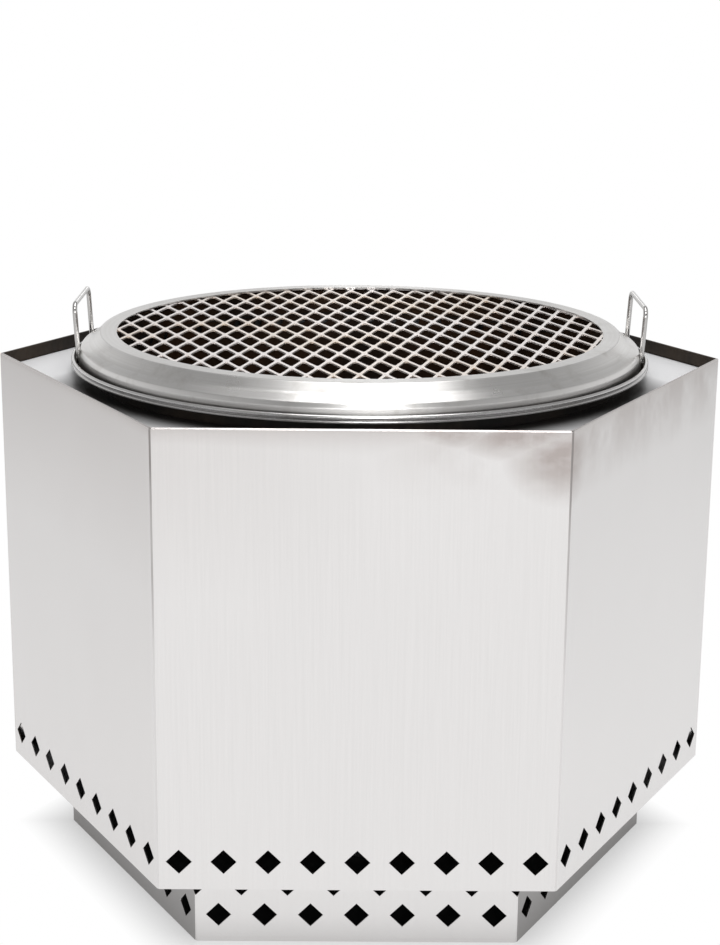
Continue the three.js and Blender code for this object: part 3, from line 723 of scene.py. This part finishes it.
def shelf_sheet(name, base):
    """Smooth pale sheet with a painted shadow round the drum, reaching further out in front."""
    finish = Finish(name, base, 0.4)
    cloud = finish.noise((16, 16, 16), 4.0)
    # Painted shadow: the sheet goes near black inside a wobbly edge round the drum, pushed outwards in
    # front
    edge = finish.total(
        finish.radius(), finish.ranged(cloud, *MIDDLE, -2 * MM, 2 * MM),
        finish.ranged(finish.axis("Y"), -80 * MM, -10 * MM, 0.0, 46 * MM),
    )
    unshaded = finish.ranged(edge, 270 * MM, 316 * MM, 0.0, 1.0)
    finish.feed("Base Color", finish.blend(unshaded, toned(base, 0.07, 0.065, 0.062), (*base, 1)))
    finish.feed("Metallic", finish.ranged(edge, 268 * MM, 304 * MM, 0.6, 0.1))
    finish.feed("Roughness", finish.ranged(edge, 268 * MM, 304 * MM, 0.3, 0.5))
    return finish.material


def bend_shade_metal(name, base):
    """Painted shade on the outer side of a bend, darker towards the top."""
    finish = Finish(name, base, 0.4)
    mottle = finish.noise((40, 40, 9))
    share = finish.product(
        finish.ranged(finish.axis("Z"), TOP_EDGE - 217 * MM, TOP_EDGE - 62 * MM, 0.12, 1.0),
        finish.ranged(mottle, 0.35, 0.6, 0.6, 1.0),
    )
    finish.feed("Base Color", finish.blend(share, (*panel_colour("sheet"), 1), (*base, 1)))
    return finish.material


def turned_metal(name, base, roughness, anisotropy):
    """Metal turned on a lathe: fine lines round the axis, highlights drawn across them, and painted shade
    at the foot.
    """
    finish = Finish(name, base, roughness)
    height = finish.axis("Z")
    rings = finish.node("ShaderNodeCombineXYZ", {"X": finish.radius(), "Y": height})
    lines = finish.noise((900, 900, 1), place=rings.outputs["Vector"])
    smudge = finish.noise((14, 14, 14), 4.0)
    stain = finish.noise((38, 38, 38), 4.0, 0.6)
    share = finish.largest(
        finish.ranged(lines, *MIDDLE, 0.0, 0.5), finish.ranged(stain, 0.48, 0.7, 0.0, 1.0)
    )
    # Painted shade: darker at the foot of the lip, and darkest on all that lies lower, the rim included
    ring_foot = low("grill_ring").z
    foot = finish.ranged(height, ring_foot + 1.5 * MM, ring_foot + 9 * MM, 1.0, 0.0)
    stained = finish.blend(share, (*base, 1), toned(base, 0.81, 0.80, 0.78))
    finish.feed("Base Color", finish.blend(foot, stained, (0.66, 0.65, 0.65, 1), "MULTIPLY"))
    finish.feed("Roughness", finish.ranged(smudge, *MIDDLE, roughness - 0.03, roughness + 0.04))
    finish.feed("Anisotropic", anisotropy)
    finish.feed("Anisotropic Rotation", 0.25)
    tangent = finish.node("ShaderNodeTangent", direction_type="RADIAL", axis="Z")
    finish.feed("Tangent", tangent.outputs["Tangent"])
    finish.bump(lines, 0.006 * MM, 0.15)
    return finish.material


def polished_metal(name, base):
    """Polished wire with faint rub marks."""
    finish = Finish(name, base, 0.12)
    mottle = finish.noise((60, 60, 60), 3.0, 0.6)
    finish.feed("Roughness", finish.ranged(mottle, 0.35, 0.7, 0.1, 0.2))
    return finish.material


def grille_metal(name, base):
    """Expanded metal, warm where the heat has touched it."""
    finish = Finish(name, base, 0.42)
    heat = finish.noise((9, 9, 9))
    speck = finish.noise((420, 420, 420), 2.0)
    straw = toned(base, 0.93, 0.83, 0.68)
    warm = finish.blend(finish.ranged(heat, 0.42, 0.7, 0.0, 0.7), (*base, 1), straw)
    finish.feed("Base Color", finish.blend(
        finish.ranged(speck, 0.5, 0.8, 0.0, 0.3), warm, toned(base, 0.6, 0.6, 0.6)
    ))
    finish.feed("Roughness", finish.ranged(speck, *MIDDLE, 0.34, 0.5))
    finish.bump(speck, 0.05 * MM, 0.5)
    return finish.material


def soot_and_shade_metal(name, base):
    """Steel browned and blackened by fire; the same near-black finish is painted shade on the inward
    faces.
    """
    finish = Finish(name, base, 0.6, 0.85)
    cloud = finish.noise((11, 11, 6), 6.0, 0.65)
    flake = finish.noise((160, 160, 90), 4.0)
    finish.feed("Base Color", finish.blend(
        finish.ranged(cloud, 0.4, 0.68, 0.0, 1.0), (*base, 1), toned(base, 2.4, 1.9, 1.5)
    ))
    finish.feed("Roughness", finish.ranged(flake, *MIDDLE, 0.5, 0.75))
    finish.bump(flake, 0.1 * MM, 0.5)
    return finish.material


def mill_sheet(name, base):
    """Plain mill-finish sheet with a faint spangle."""
    finish = Finish(name, base, 0.45)
    cells = finish.node(
        "ShaderNodeTexVoronoi", {"Vector": finish.stretched((90, 90, 90)), "Scale": 1.0}
    )
    spangle = cells.outputs["Distance"]
    finish.feed("Base Color", finish.blend(
        finish.ranged(spangle, 0.1, 0.8, 0.0, 0.6), (*base, 1), toned(base, 0.82, 0.82, 0.82)
    ))
    finish.feed("Roughness", finish.ranged(spangle, 0.0, 0.8, 0.38, 0.52))
    return finish.material


# Maker, colour in the panel and further options of each material
MATERIALS = {
    "satin_sheet": (satin_sheet, "sheet", 0.22, 0.9),
    # Painted shade on the slanted faces of the base
    "shaded_sheet": (satin_sheet, "shade", 0.35, 0.0),
    # Painted shade on the inward faces
    "inner_sheet": (soot_and_shade_metal, "inner"),
    # Painted shade along the bends
    "bend_line": (bend_shade_metal, "bend"),
    "shelf_sheet": (shelf_sheet, "shelf"),
    "rim_metal": (turned_metal, "polished", 0.2, 0.3),
    "turned_ring": (turned_metal, "turned", 0.3, 0.5),
    "sooted_steel": (soot_and_shade_metal, "soot"),
    "mill_sheet": (mill_sheet, "mill"),
    "expanded_metal": (grille_metal, "mesh"),
    "polished_wire": (polished_metal, "wire"),
}


def panel_colour(name):
    return tuple(getattr(bpy.context.scene.firepit_finishes, name))


def material(name):
    """The material of that name, made once."""
    found = bpy.data.materials.get(name)
    if found:
        return found
    maker, base, *options = MATERIALS[name]
    return maker(name, panel_colour(base), *options)


class FIREPIT_OT_casing(bpy.types.Operator):
    """Model the two bent halves of the casing"""

    bl_idname = "firepit.casing"
    bl_label = "Casing"

    def execute(self, context):
        sizes = context.scene.firepit_surround
        corner = high("casing_front").x + TOUCH / 2 * math.tan(CORNER_TURN)
        bottom, top = low("casing_front").z, high("casing_front").z
        sheet, hem, hem_foot = sizes.sheet, sizes.hem, top - sizes.hem_height
        fold = hem / 2
        section = [(0, bottom)]
        section += arc((fold, top - fold), -fold, 0, -180, 8)
        section += [(hem, hem_foot), (hem - sheet, hem_foot)]
        section += [(hem - sheet, top - fold), (sheet, top - fold), (sheet, bottom)]
        half = front_half(hexagon_wall(corner, section, sheet, sizes.bend))
        pitch = (corner - 2 * sizes.vent_margin) / (sizes.casing_vents - 1)
        height = bottom + sizes.vent_height
        vents = vent_row(corner, pitch, sizes.casing_vents, height, sizes.vent)
        combined(half, joined(vents), "DIFFERENCE")
        seam_low, seam_high = high("floor_tray").z + SEAM_LIFT, low("shelf_bracket_1").z
        for side in (-1, 1):
            flange = seam_plate(side, corner, sizes.seam_flange, sheet, seam_low, seam_high)
            combined(half, flange, "UNION")
        eased(half, EDGE_EASE)
        # Painted shade: near black on the inward faces, and darker along the bends
        front_and_rear(half, "casing", (
            ("inner_sheet", faces_inwards), ("bend_line", on_bend(corner)),
        ))
        return {"FINISHED"}


class FIREPIT_OT_base(bpy.types.Operator):
    """Model the two bent halves of the vented base"""

    bl_idname = "firepit.base"
    bl_label = "Base"

    def execute(self, context):
        sizes = context.scene.firepit_surround
        corner = high("base_front").x + TOUCH / 2 * math.tan(CORNER_TURN)
        top, sheet = high("base_front").z, sizes.base_sheet
        top_reach, foot_reach = sheet + sizes.top_flange, sheet + sizes.foot_flange
        section = [
            (0, 0), (0, top), (top_reach, top), (top_reach, top - sheet), (sheet, top - sheet),
            (sheet, sheet), (foot_reach, sheet), (foot_reach, 0),
        ]
        half = front_half(hexagon_wall(corner, section, sheet, sizes.bend))
        pitch, vents = corner / sizes.base_vents, sizes.base_vents
        cutters = vent_row(corner, pitch, vents, sizes.base_low_row, sizes.vent)
        cutters += vent_row(corner, pitch, vents - 1, sizes.base_high_row, sizes.vent)
        for bend in (FRONT - CORNER_TURN, FRONT + CORNER_TURN):
            place = (corner * math.cos(bend), corner * math.sin(bend), sizes.base_high_row)
            cutter = vent_cutter(0, 0, 0, 0, sizes.vent)
            cutters.append(placed(cutter, place, (0, 0, bend), (1, COS30, 1)))
        combined(half, joined(cutters), "DIFFERENCE")
        eased(half, EDGE_EASE)
        # Painted shade: near black inside and on the level flanges, darker on the slanted side faces
        front_and_rear(half, "base", (
            ("inner_sheet", lambda face: faces_inwards(face) or lies_level(face, 0.9)),
            ("shaded_sheet", lambda face: abs(face.normal.x) > 0.7 and not faces_inwards(face)),
        ))
        return {"FINISHED"}


class FIREPIT_OT_shelf(bpy.types.Operator):
    """Model the shelf and the collar that the drum hangs on"""

    bl_idname = "firepit.shelf"
    bl_label = "Shelf"

    def execute(self, context):
        sizes = context.scene.firepit_surround
        bottom, top = low("shelf_plate").z, high("shelf_plate").z
        collar_out, collar_top = high("shelf_collar").x, high("shelf_collar").z
        sheet = top - bottom
        corner = high("shelf_plate").y / COS30
        middle = (0, 0, (top + bottom) / 2)
        plate = round_bar(corner, sheet, middle, FACES, (0, 0, CORNER_TURN))

        def at_corner(edge):
            a, b = ends(plate, edge)
            return abs(a.z - b.z) > sheet / 2

        worked_where(
            plate, "EDGE", at_corner, bpy.ops.mesh.bevel,
            offset=sizes.relief, segments=1, affect="EDGES",
        )
        hole = round_bar(collar_out + TOUCH, sheet * 4, (0, 0, bottom), SHELF_SIDES)
        combined(plate, hole, "DIFFERENCE")
        kept(plate, "shelf_top", "surround", "shelf", "shelf_sheet", "shelf_plate")
        edge = sheet / 2
        section = [(collar_out - sheet, bottom), (collar_out, bottom)]
        section += arc((collar_out - edge, collar_top - edge), edge, 0, 180, 6)
        collar = carried(section, SHELF_SIDES)
        # Painted shade: the collar under the rim is near black
        kept(collar, "shelf_collar_ring", "surround", "shelf", "inner_sheet", "shelf_collar")
        return {"FINISHED"}


class FIREPIT_OT_rim(bpy.types.Operator):
    """Model the rim of the drum with its double bead"""

    bl_idname = "firepit.rim"
    bl_label = "Drum rim"

    def execute(self, context):
        sizes = context.scene.firepit_drum
        bottom, top = low("drum_rim").z, high("drum_rim").z
        outer, inner = high("drum_rim").x, high("drum_inner_wall").x - sizes.sheet
        plate_top, groove = bottom + sizes.sheet, outer - sizes.bead
        upper, lower = sizes.upper_bead, sizes.lower_bead
        back = 0.7 * upper
        section = [(inner, bottom), (outer - lower, bottom)]
        section += arc((outer - lower, bottom + lower), lower, -80, 70, 8)
        section += [(outer - sizes.crease, bottom + 2 * lower + sizes.crease_rise)]
        section += arc((outer - upper, top - upper), upper, -62, 90, 10)
        section += arc((groove + back, top - back), back, 90, 180, 6)
        section += [(groove, plate_top), (inner, plate_top)]
        rim = carried(section, RIM_SIDES)
        kept(rim, "drum_rim_bead", "burn_drum", "polished", "rim_metal", "drum_rim")

        # Painted shade: near black underneath, on the plate inside the bead and on the inward faces
        def in_painted_shade(face):
            underneath = face.normal.z < -0.8
            on_plate = lies_level(face, 0.8) and plan(face.center).length < groove
            return underneath or on_plate or faces_inwards(face)

        dabbed(rim, "inner_sheet", in_painted_shade)
        return {"FINISHED"}


class FIREPIT_OT_drum(bpy.types.Operator):
    """Model the walls and the floor of the burn drum, and finish its ledge"""

    bl_idname = "firepit.drum"
    bl_label = "Burn drum"

    def execute(self, context):
        sizes = context.scene.firepit_drum
        sheet, roll = sizes.sheet, sizes.roll
        outer, bottom, top = high("drum_inner_wall").x, low("drum_inner_wall").z, high("drum_inner_wall").z
        inner_wall = carried(
            [(outer - sheet, bottom), (outer, bottom), (outer, top), (outer - sheet, top)], DRUM_SIDES
        )
        drilled(
            inner_wall, sizes.burn_holes, 0.5, sizes.burn_hole, top - sizes.burn_hole_drop, outer
        )
        kept(inner_wall, "drum_inner_skin", "burn_drum", "heated_sheet", "sooted_steel",
             "drum_inner_wall")

        flange, foot = high("drum_outer_wall").x, low("drum_outer_wall").z
        outer = flange - sizes.flange
        outer_wall = carried([
            (outer - sheet, foot), (outer, foot), (outer, top - sheet), (flange, top - sheet),
            (flange, top), (outer - sheet, top),
        ], DRUM_SIDES)
        drilled(
            outer_wall, sizes.intakes, 0.25, sizes.intake, foot + sizes.intake_height, flange
        )
        kept(outer_wall, "drum_outer_skin", "burn_drum", "plain_sheet", "mill_sheet",
             "drum_outer_wall")

        under, roll_top, roll_out = low("drum_floor").z, high("drum_floor").z, high("drum_floor").x
        roll_in = roll_out - 2 * roll
        overlap = MM / 2
        middle = (0, 0, under + sheet / 2)
        dish = round_bar(roll_in - overlap, sheet, middle, DRUM_SIDES)
        section = [(roll_in - 2 * overlap, under)]
        section += arc((roll_out - roll, under + roll), roll, -90, 0, 4)
        section += arc((roll_out - roll, roll_top - roll), roll, 0, 180, 8)
        section += [(roll_in, under + sheet), (roll_in - 2 * overlap, under + sheet)]
        combined(dish, carried(section, DRUM_SIDES), "UNION")
        kept(dish, "drum_floor_dish", "burn_drum", "plain_sheet", "mill_sheet", "drum_floor")
        dressed("grate_ledge", "sooted_steel")
        return {"FINISHED"}


class FIREPIT_OT_hearth(bpy.types.Operator):
    """Finish the fire grate and the ash pan"""

    bl_idname = "firepit.hearth"
    bl_label = "Grate and pan"

    def execute(self, context):
        dressed("fire_grate", "sooted_steel")
        dressed("ash_pan", "sooted_steel")
        return {"FINISHED"}


class FIREPIT_OT_hidden_sheet(bpy.types.Operator):
    """Finish the tray, the brackets and the fasteners"""

    bl_idname = "firepit.hidden_sheet"
    bl_label = "Tray and fasteners"

    def execute(self, context):
        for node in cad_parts:
            if any(word in node for word in ("floor_tray", "shelf_bracket", "rivet", "bolt", "nut")):
                dressed(node, "mill_sheet")
        return {"FINISHED"}


class FIREPIT_OT_ring(bpy.types.Operator):
    """Model the raised ring and the skirt of the lid"""

    bl_idname = "firepit.ring"
    bl_label = "Grill ring"

    def execute(self, context):
        sizes = context.scene.firepit_lid
        edge, foot, top = high("grill_ring").x, low("grill_ring").z, high("grill_ring").z
        rim_top = foot - TOUCH
        bends = (sizes.band_top, sizes.shoulder, sizes.lip_foot)
        line = [(edge, foot)]
        line += [(edge - inset, rim_top + height) for inset, height, _ in bends]
        line += [(edge - sizes.lip_inset, top), (edge - sizes.mouth_inset, top)]
        radii = [radius for _, _, radius in bends] + [sizes.lip_bend]
        ring = carried(filleted(line, radii, 6), RING_SIDES, closed=False)
        modified(ring, "SOLIDIFY", thickness=sizes.ring_sheet, offset=-1, use_even_offset=True)
        sealed(ring)
        half = sizes.handle_width / 2
        out = math.sqrt((edge + TOUCH) ** 2 - half ** 2)
        notches = [
            added(
                bpy.ops.mesh.primitive_cube_add, size=1, location=(x, y, rim_top),
                rotation=(0, 0, math.atan2(y, x)),
                scale=(sizes.notch_depth, 2 * (sizes.wire + TOUCH), sizes.notch_height),
            )
            for x in (-out, out) for y in (-half, half)
        ]
        combined(ring, joined(notches), "DIFFERENCE")
        kept(ring, "grill_ring_shell", "grill_lid", "turned", "turned_ring", "grill_ring")

        inner, outer = sizes.skirt, high("grille_collar").x
        bottom, top = low("grille_collar").z, high("grille_collar").z
        sheet = sizes.ring_sheet
        section = filleted([(inner, bottom), (inner, top), (outer, top)], [sizes.skirt_bend])
        section += filleted(
            [(outer, top - sheet), (inner + sheet, top - sheet), (inner + sheet, bottom)],
            [sizes.skirt_inner_bend],
        )
        skirt = carried(section, LID_SIDES)
        kept(skirt, "grille_collar_skirt", "grill_lid", "heated_sheet", "sooted_steel",
             "grille_collar")
        return {"FINISHED"}


class FIREPIT_OT_grille(bpy.types.Operator):
    """Model the expanded-metal grille"""

    bl_idname = "firepit.grille"
    bl_label = "Grille"

    def execute(self, context):
        sizes = context.scene.firepit_lid
        bottom, top, reach = low("grille").z, high("grille").z, high("grille").x
        thickness, inside, slack = top - bottom, reach - MESH_BORDER, 0.2 * MM
        short, long = sizes.short_way, sizes.long_way
        net = diamond_net(sizes, reach, top)
        modified(net, "SOLIDIFY", thickness=thickness, offset=-1)
        disc = round_bar(inside, CUT_THROUGH, (0, 0, top), LID_SIDES)
        combined(net, disc, "INTERSECT")
        turned, unturned = (Matrix.Rotation(way * sizes.mesh_turn, 2) for way in (1, -1))

        def from_bond(place):
            """Offset from the nearest bond, along the mesh's own short and long way."""
            flat = unturned @ (plan(place) - Vector(BOND))
            across, along = flat.x / short, flat.y / long
            bond_across = (round(across + along) + round(across - along)) / 2
            bond_along = (round(across + along) - round(across - along)) / 2
            return Vector(((across - bond_across) * short, (along - bond_along) * long))

        def gap_corner(sharp, whole):
            """Upright edges at the sharp or blunt corners of whole or of clipped gaps."""
            def chosen(edge):
                a, b = ends(net, edge)
                upright = abs(a.z - b.z) > thickness / 2
                off_border = plan(a).length < inside - slack
                offset = from_bond(a)
                if not upright or not off_border or (abs(offset.y) > abs(offset.x)) != sharp:
                    return False
                step = Vector((0, math.copysign(long / 2, offset.y)))
                if not sharp:
                    step = Vector((math.copysign(short / 2, offset.x), 0))
                centre = plan(a) + turned @ (step - offset)
                corners = [
                    centre + turned @ Vector(corner)
                    for corner in ((short / 2, 0), (-short / 2, 0), (0, long / 2), (0, -long / 2))
                ]
                return (max(corner.length for corner in corners) < inside) == whole
            return chosen

        for sharp, whole, rounding, steps in (
            (True, True, sizes.sharp_corner, 4), (False, True, sizes.blunt_corner, 4),
            (True, False, sizes.clipped_corner, 2), (False, False, sizes.clipped_corner, 2),
        ):
            worked_where(
                net, "EDGE", gap_corner(sharp, whole), bpy.ops.mesh.bevel,
                offset=rounding, segments=steps, affect="EDGES", clamp_overlap=True,
            )
        eased(net, sizes.strand_ease, 40)
        hoop_in = reach - sizes.hoop
        hoop = carried([(hoop_in, bottom), (reach, bottom), (reach, top), (hoop_in, top)], LID_SIDES)
        kept(joined([net, hoop]), "grille_net", "grill_lid", "grille", "expanded_metal", "grille")
        return {"FINISHED"}


def diamond_net(sizes, reach, height):
    """A flat net of diamond gaps, a little wider than the reach."""
    short, long = sizes.short_way, sizes.long_way
    spare = 6
    cells = 2 * math.ceil(reach / short) + spare
    net = added(
        bpy.ops.mesh.primitive_grid_add, x_subdivisions=cells, y_subdivisions=cells, size=cells
    )
    only(net)
    net.rotation_euler.z = math.radians(45)
    bpy.ops.object.transform_apply(location=False, rotation=True, scale=False)
    root2 = math.sqrt(2)
    net.scale = (short / root2, long / root2, 1)
    bpy.ops.object.transform_apply(location=False, rotation=False, scale=True)
    net.rotation_euler.z = sizes.mesh_turn
    net.location = (*BOND, height)
    bpy.ops.object.transform_apply(location=True, rotation=True, scale=False)
    far = reach + long / 2
    pick(net, "FACE", lambda face: plan(face.center).length > far)
    bpy.ops.mesh.delete(type="FACE")
    bpy.ops.mesh.select_all(action="SELECT")
    bpy.ops.mesh.inset(thickness=sizes.strand / 2, use_individual=True)
    bpy.ops.mesh.delete(type="FACE")
    bpy.ops.object.mode_set(mode="OBJECT")
    return net


class FIREPIT_OT_handles(bpy.types.Operator):
    """Model the two wire handles"""

    bl_idname = "firepit.handles"
    bl_label = "Handles"

    def execute(self, context):
        sizes = context.scene.firepit_lid
        half, bend, foot = sizes.handle_width / 2, sizes.bend, low("grill_ring").z
        out = math.sqrt((high("grill_ring").x + TOUCH) ** 2 - half ** 2)
        leg, run = sizes.handle_rise - bend, 2 * (half - bend)
        wire = added(
            bpy.ops.mesh.primitive_circle_add, vertices=WIRE_SIDES, radius=sizes.wire,
            fill_type="NGON", location=(0, half, 0),
        )
        editing(wire)
        bpy.ops.mesh.select_all(action="SELECT")
        quarter = {"steps": 8, "angle": math.radians(-90), "axis": (1, 0, 0), "dupli": False}
        bpy.ops.mesh.extrude_region_move(TRANSFORM_OT_translate={"value": (0, 0, leg)})
        bpy.ops.mesh.spin(center=(0, half - bend, leg), **quarter)
        bpy.ops.mesh.extrude_region_move(TRANSFORM_OT_translate={"value": (0, -run, 0)})
        bpy.ops.mesh.spin(center=(0, bend - half, leg), **quarter)
        bpy.ops.mesh.extrude_region_move(TRANSFORM_OT_translate={"value": (0, 0, -leg)})
        bpy.ops.object.mode_set(mode="OBJECT")
        sealed(wire)
        lift = sizes.wire * math.sin(sizes.lean)
        placed(wire, (out, 0, foot + lift), (0, sizes.lean, 0))
        left = half_turned(wire)
        kept(wire, "handle_right_wire", "grill_lid", "polished", "polished_wire", "handle_right")
        kept(left, "handle_left_wire", "grill_lid", "polished", "polished_wire", "handle_left")
        return {"FINISHED"}


class FIREPIT_OT_stage(bpy.types.Operator):
    """Lay the floor, hang the lamps and set the camera"""

    bl_idname = "firepit.stage"
    bl_label = "Stage"

    def execute(self, context):
        scene = context.scene
        scene.view_settings.view_transform = "Standard"
        floor = added(
            bpy.ops.mesh.primitive_circle_add, vertices=96, radius=FLOOR_RADIUS, fill_type="NGON"
        )
        floor.name = "studio_floor"
        floor.data.materials.append(floor_paint())
        studio_world(scene)
        for name, settings in LAMPS.items():
            lamp(name, *settings)
        photo_camera(scene)
        return {"FINISHED"}


def floor_paint():
    """Pale floor: white for the eye except for the shadow round the foot, painted black under the base,
    fading in reflections.
    """
    pale = (0.9, 0.9, 0.9)
    finish = Finish("floor_paint", pale, 0.9, 0.0)
    rays = finish.node("ShaderNodeLightPath").outputs
    across, depth = finish.size(finish.axis("X")), finish.size(finish.axis("Y"))
    slanted = finish.total(finish.product(across, COS30), finish.product(depth, 0.5))
    hexagon = finish.largest(depth, slanted)
    foot = BASE_APOTHEM
    # Painted shade: the floor under the base is near black
    under = finish.ranged(hexagon, foot - 15 * MM, foot, 0.0, 1.0)
    finish.feed("Base Color", finish.blend(under, (0.01, 0.01, 0.01, 1), (*pale, 1)))

    outside = finish.ranged(hexagon, foot - 10 * MM, foot - 4 * MM, 0.0, 1.0)
    seen = finish.product(
        rays["Is Camera Ray"], outside,
        finish.ranged(hexagon, foot - 5 * MM, foot + 50 * MM, 0.4, 1.0),
    )
    reflected = finish.product(
        finish.largest(rays["Is Glossy Ray"], rays["Is Transmission Ray"]),
        outside,
        finish.ranged(hexagon, foot - 5 * MM, foot + 45 * MM, 0.44, 1.0),
        finish.ranged(finish.distance(finish.place), 1.8, 3.2, 1.0, 0.55),
        finish.ranged(finish.axis("Y"), -0.6, 0.1, 1.0, 0.52),
    )
    white = finish.node("ShaderNodeEmission", {"Color": (1, 1, 1, 1), "Strength": 1.0})
    mixed = finish.node("ShaderNodeMixShader", {
        0: finish.largest(seen, reflected), 1: finish.shader.outputs[0], 2: white.outputs[0],
    })
    finish.join(mixed.outputs[0], finish.tree.nodes["Material Output"].inputs["Surface"])
    return finish.material


def studio_world(scene):
    """White for the eye; in reflections a white backdrop behind and a dim room in front."""
    world = bpy.data.worlds.new("studio")
    scene.world = world
    world.use_nodes = True
    nodes = Nodes(world.node_tree)
    place = nodes.node("ShaderNodeTexCoord").outputs["Generated"]
    split = nodes.node("ShaderNodeSeparateXYZ", {0: place}).outputs
    height = split["Z"]
    behind = nodes.ramp(
        height, (0.0, 0.95), (0.22, 0.88), (0.31, 0.72), (0.53, 0.5), (0.72, 0.36), (1.0, 0.36)
    )
    middle = nodes.ramp(
        height, (0.0, 0.9), (0.1, 0.6), (0.25, 0.28), (0.45, 0.2), (0.6, 0.35), (1.0, 0.36)
    )
    sides = nodes.ramp(height, (0.0, 0.9), (0.1, 0.7), (0.25, 0.5), (0.45, 0.45), (1.0, 0.4))
    beside = nodes.ramp(nodes.size(split["X"]), (0.4, 0.0), (0.75, 1.0))
    front = nodes.blend(beside, middle, sides)
    room = nodes.blend(nodes.ranged(split["Y"], -0.35, 0.35, 0.0, 1.0), front, behind)
    eye = nodes.node("ShaderNodeLightPath").outputs["Is Camera Ray"]
    background = world.node_tree.nodes["Background"].inputs
    nodes.join(nodes.blend(eye, room, (1, 1, 1, 1)), background["Color"])
    nodes.join(1.0, background["Strength"])


def lamp(name, place, target, width, height, power):
    """A soft rectangular lamp, aimed at a point and hidden from the camera."""
    bpy.ops.object.light_add(type="AREA", location=place)
    obj = bpy.context.object
    obj.name = name
    obj.data.shape = "RECTANGLE"
    obj.data.size, obj.data.size_y = width, height
    obj.data.energy = power
    obj.visible_camera = False
    aim = Vector(target) - Vector(place)
    obj.rotation_euler = aim.to_track_quat("-Z", "Y").to_euler()


def photo_camera(scene):
    """The camera where the photograph was taken from."""
    yaw, pitch, roll = -0.0072, 0.2619, 0.0095
    place = Vector((-0.0119, -1.8276, 0.8606))
    forward = Vector((
        -math.sin(yaw) * math.cos(pitch), math.cos(yaw) * math.cos(pitch), -math.sin(pitch)
    ))
    level = Vector((math.cos(yaw), math.sin(yaw), 0))
    upward = level.cross(forward)
    right = level * math.cos(roll) + upward * math.sin(roll)
    up = -level * math.sin(roll) + upward * math.cos(roll)
    data = bpy.data.cameras.new("photo_camera")
    data.lens = 73.85
    data.sensor_width = 36
    camera = bpy.data.objects.new("photo_camera", data)
    scene.collection.objects.link(camera)
    camera.matrix_world = Matrix((
        (right.x, up.x, -forward.x, place.x),
        (right.y, up.y, -forward.y, place.y),
        (right.z, up.z, -forward.z, place.z),
        (0, 0, 0, 1),
    ))
    scene.camera = camera


class FIREPIT_PT_panel(bpy.types.Panel):
    """Buttons, sizes and colours of the fire pit"""

    bl_idname = "FIREPIT_PT_panel"
    bl_label = "Fire pit"
    bl_space_type = "VIEW_3D"
    bl_region_type = "UI"
    bl_category = "Fire pit"

    def draw(self, context):
        for operator in OPERATORS:
            self.layout.operator(operator.bl_idname)
        for name in GROUPS:
            group = getattr(context.scene, name)
            for size in group.__annotations__:
                self.layout.prop(group, size)


GROUPS = {
    "firepit_surround": FIREPIT_SurroundSizes,
    "firepit_drum": FIREPIT_DrumSizes,
    "firepit_lid": FIREPIT_LidSizes,
    "firepit_finishes": FIREPIT_Finishes,
}
OPERATORS = (
    FIREPIT_OT_casing,
    FIREPIT_OT_base,
    FIREPIT_OT_shelf,
    FIREPIT_OT_rim,
    FIREPIT_OT_drum,
    FIREPIT_OT_hearth,
    FIREPIT_OT_hidden_sheet,
    FIREPIT_OT_ring,
    FIREPIT_OT_grille,
    FIREPIT_OT_handles,
    FIREPIT_OT_stage,
)


def register():
    for name, group in GROUPS.items():
        bpy.utils.register_class(group)
        setattr(bpy.types.Scene, name, bpy.props.PointerProperty(type=group))
    for operator in OPERATORS:
        bpy.utils.register_class(operator)
    bpy.utils.register_class(FIREPIT_PT_panel)


def unregister():
    bpy.utils.unregister_class(FIREPIT_PT_panel)
    for operator in reversed(OPERATORS):
        bpy.utils.unregister_class(operator)
    for name, group in GROUPS.items():
        delattr(bpy.types.Scene, name)
        bpy.utils.unregister_class(group)


def main():
    register()
    for operator in OPERATORS:
        area, name = operator.bl_idname.split(".")
        getattr(getattr(bpy.ops, area), name)()


if __name__ == "__main__":
    main()
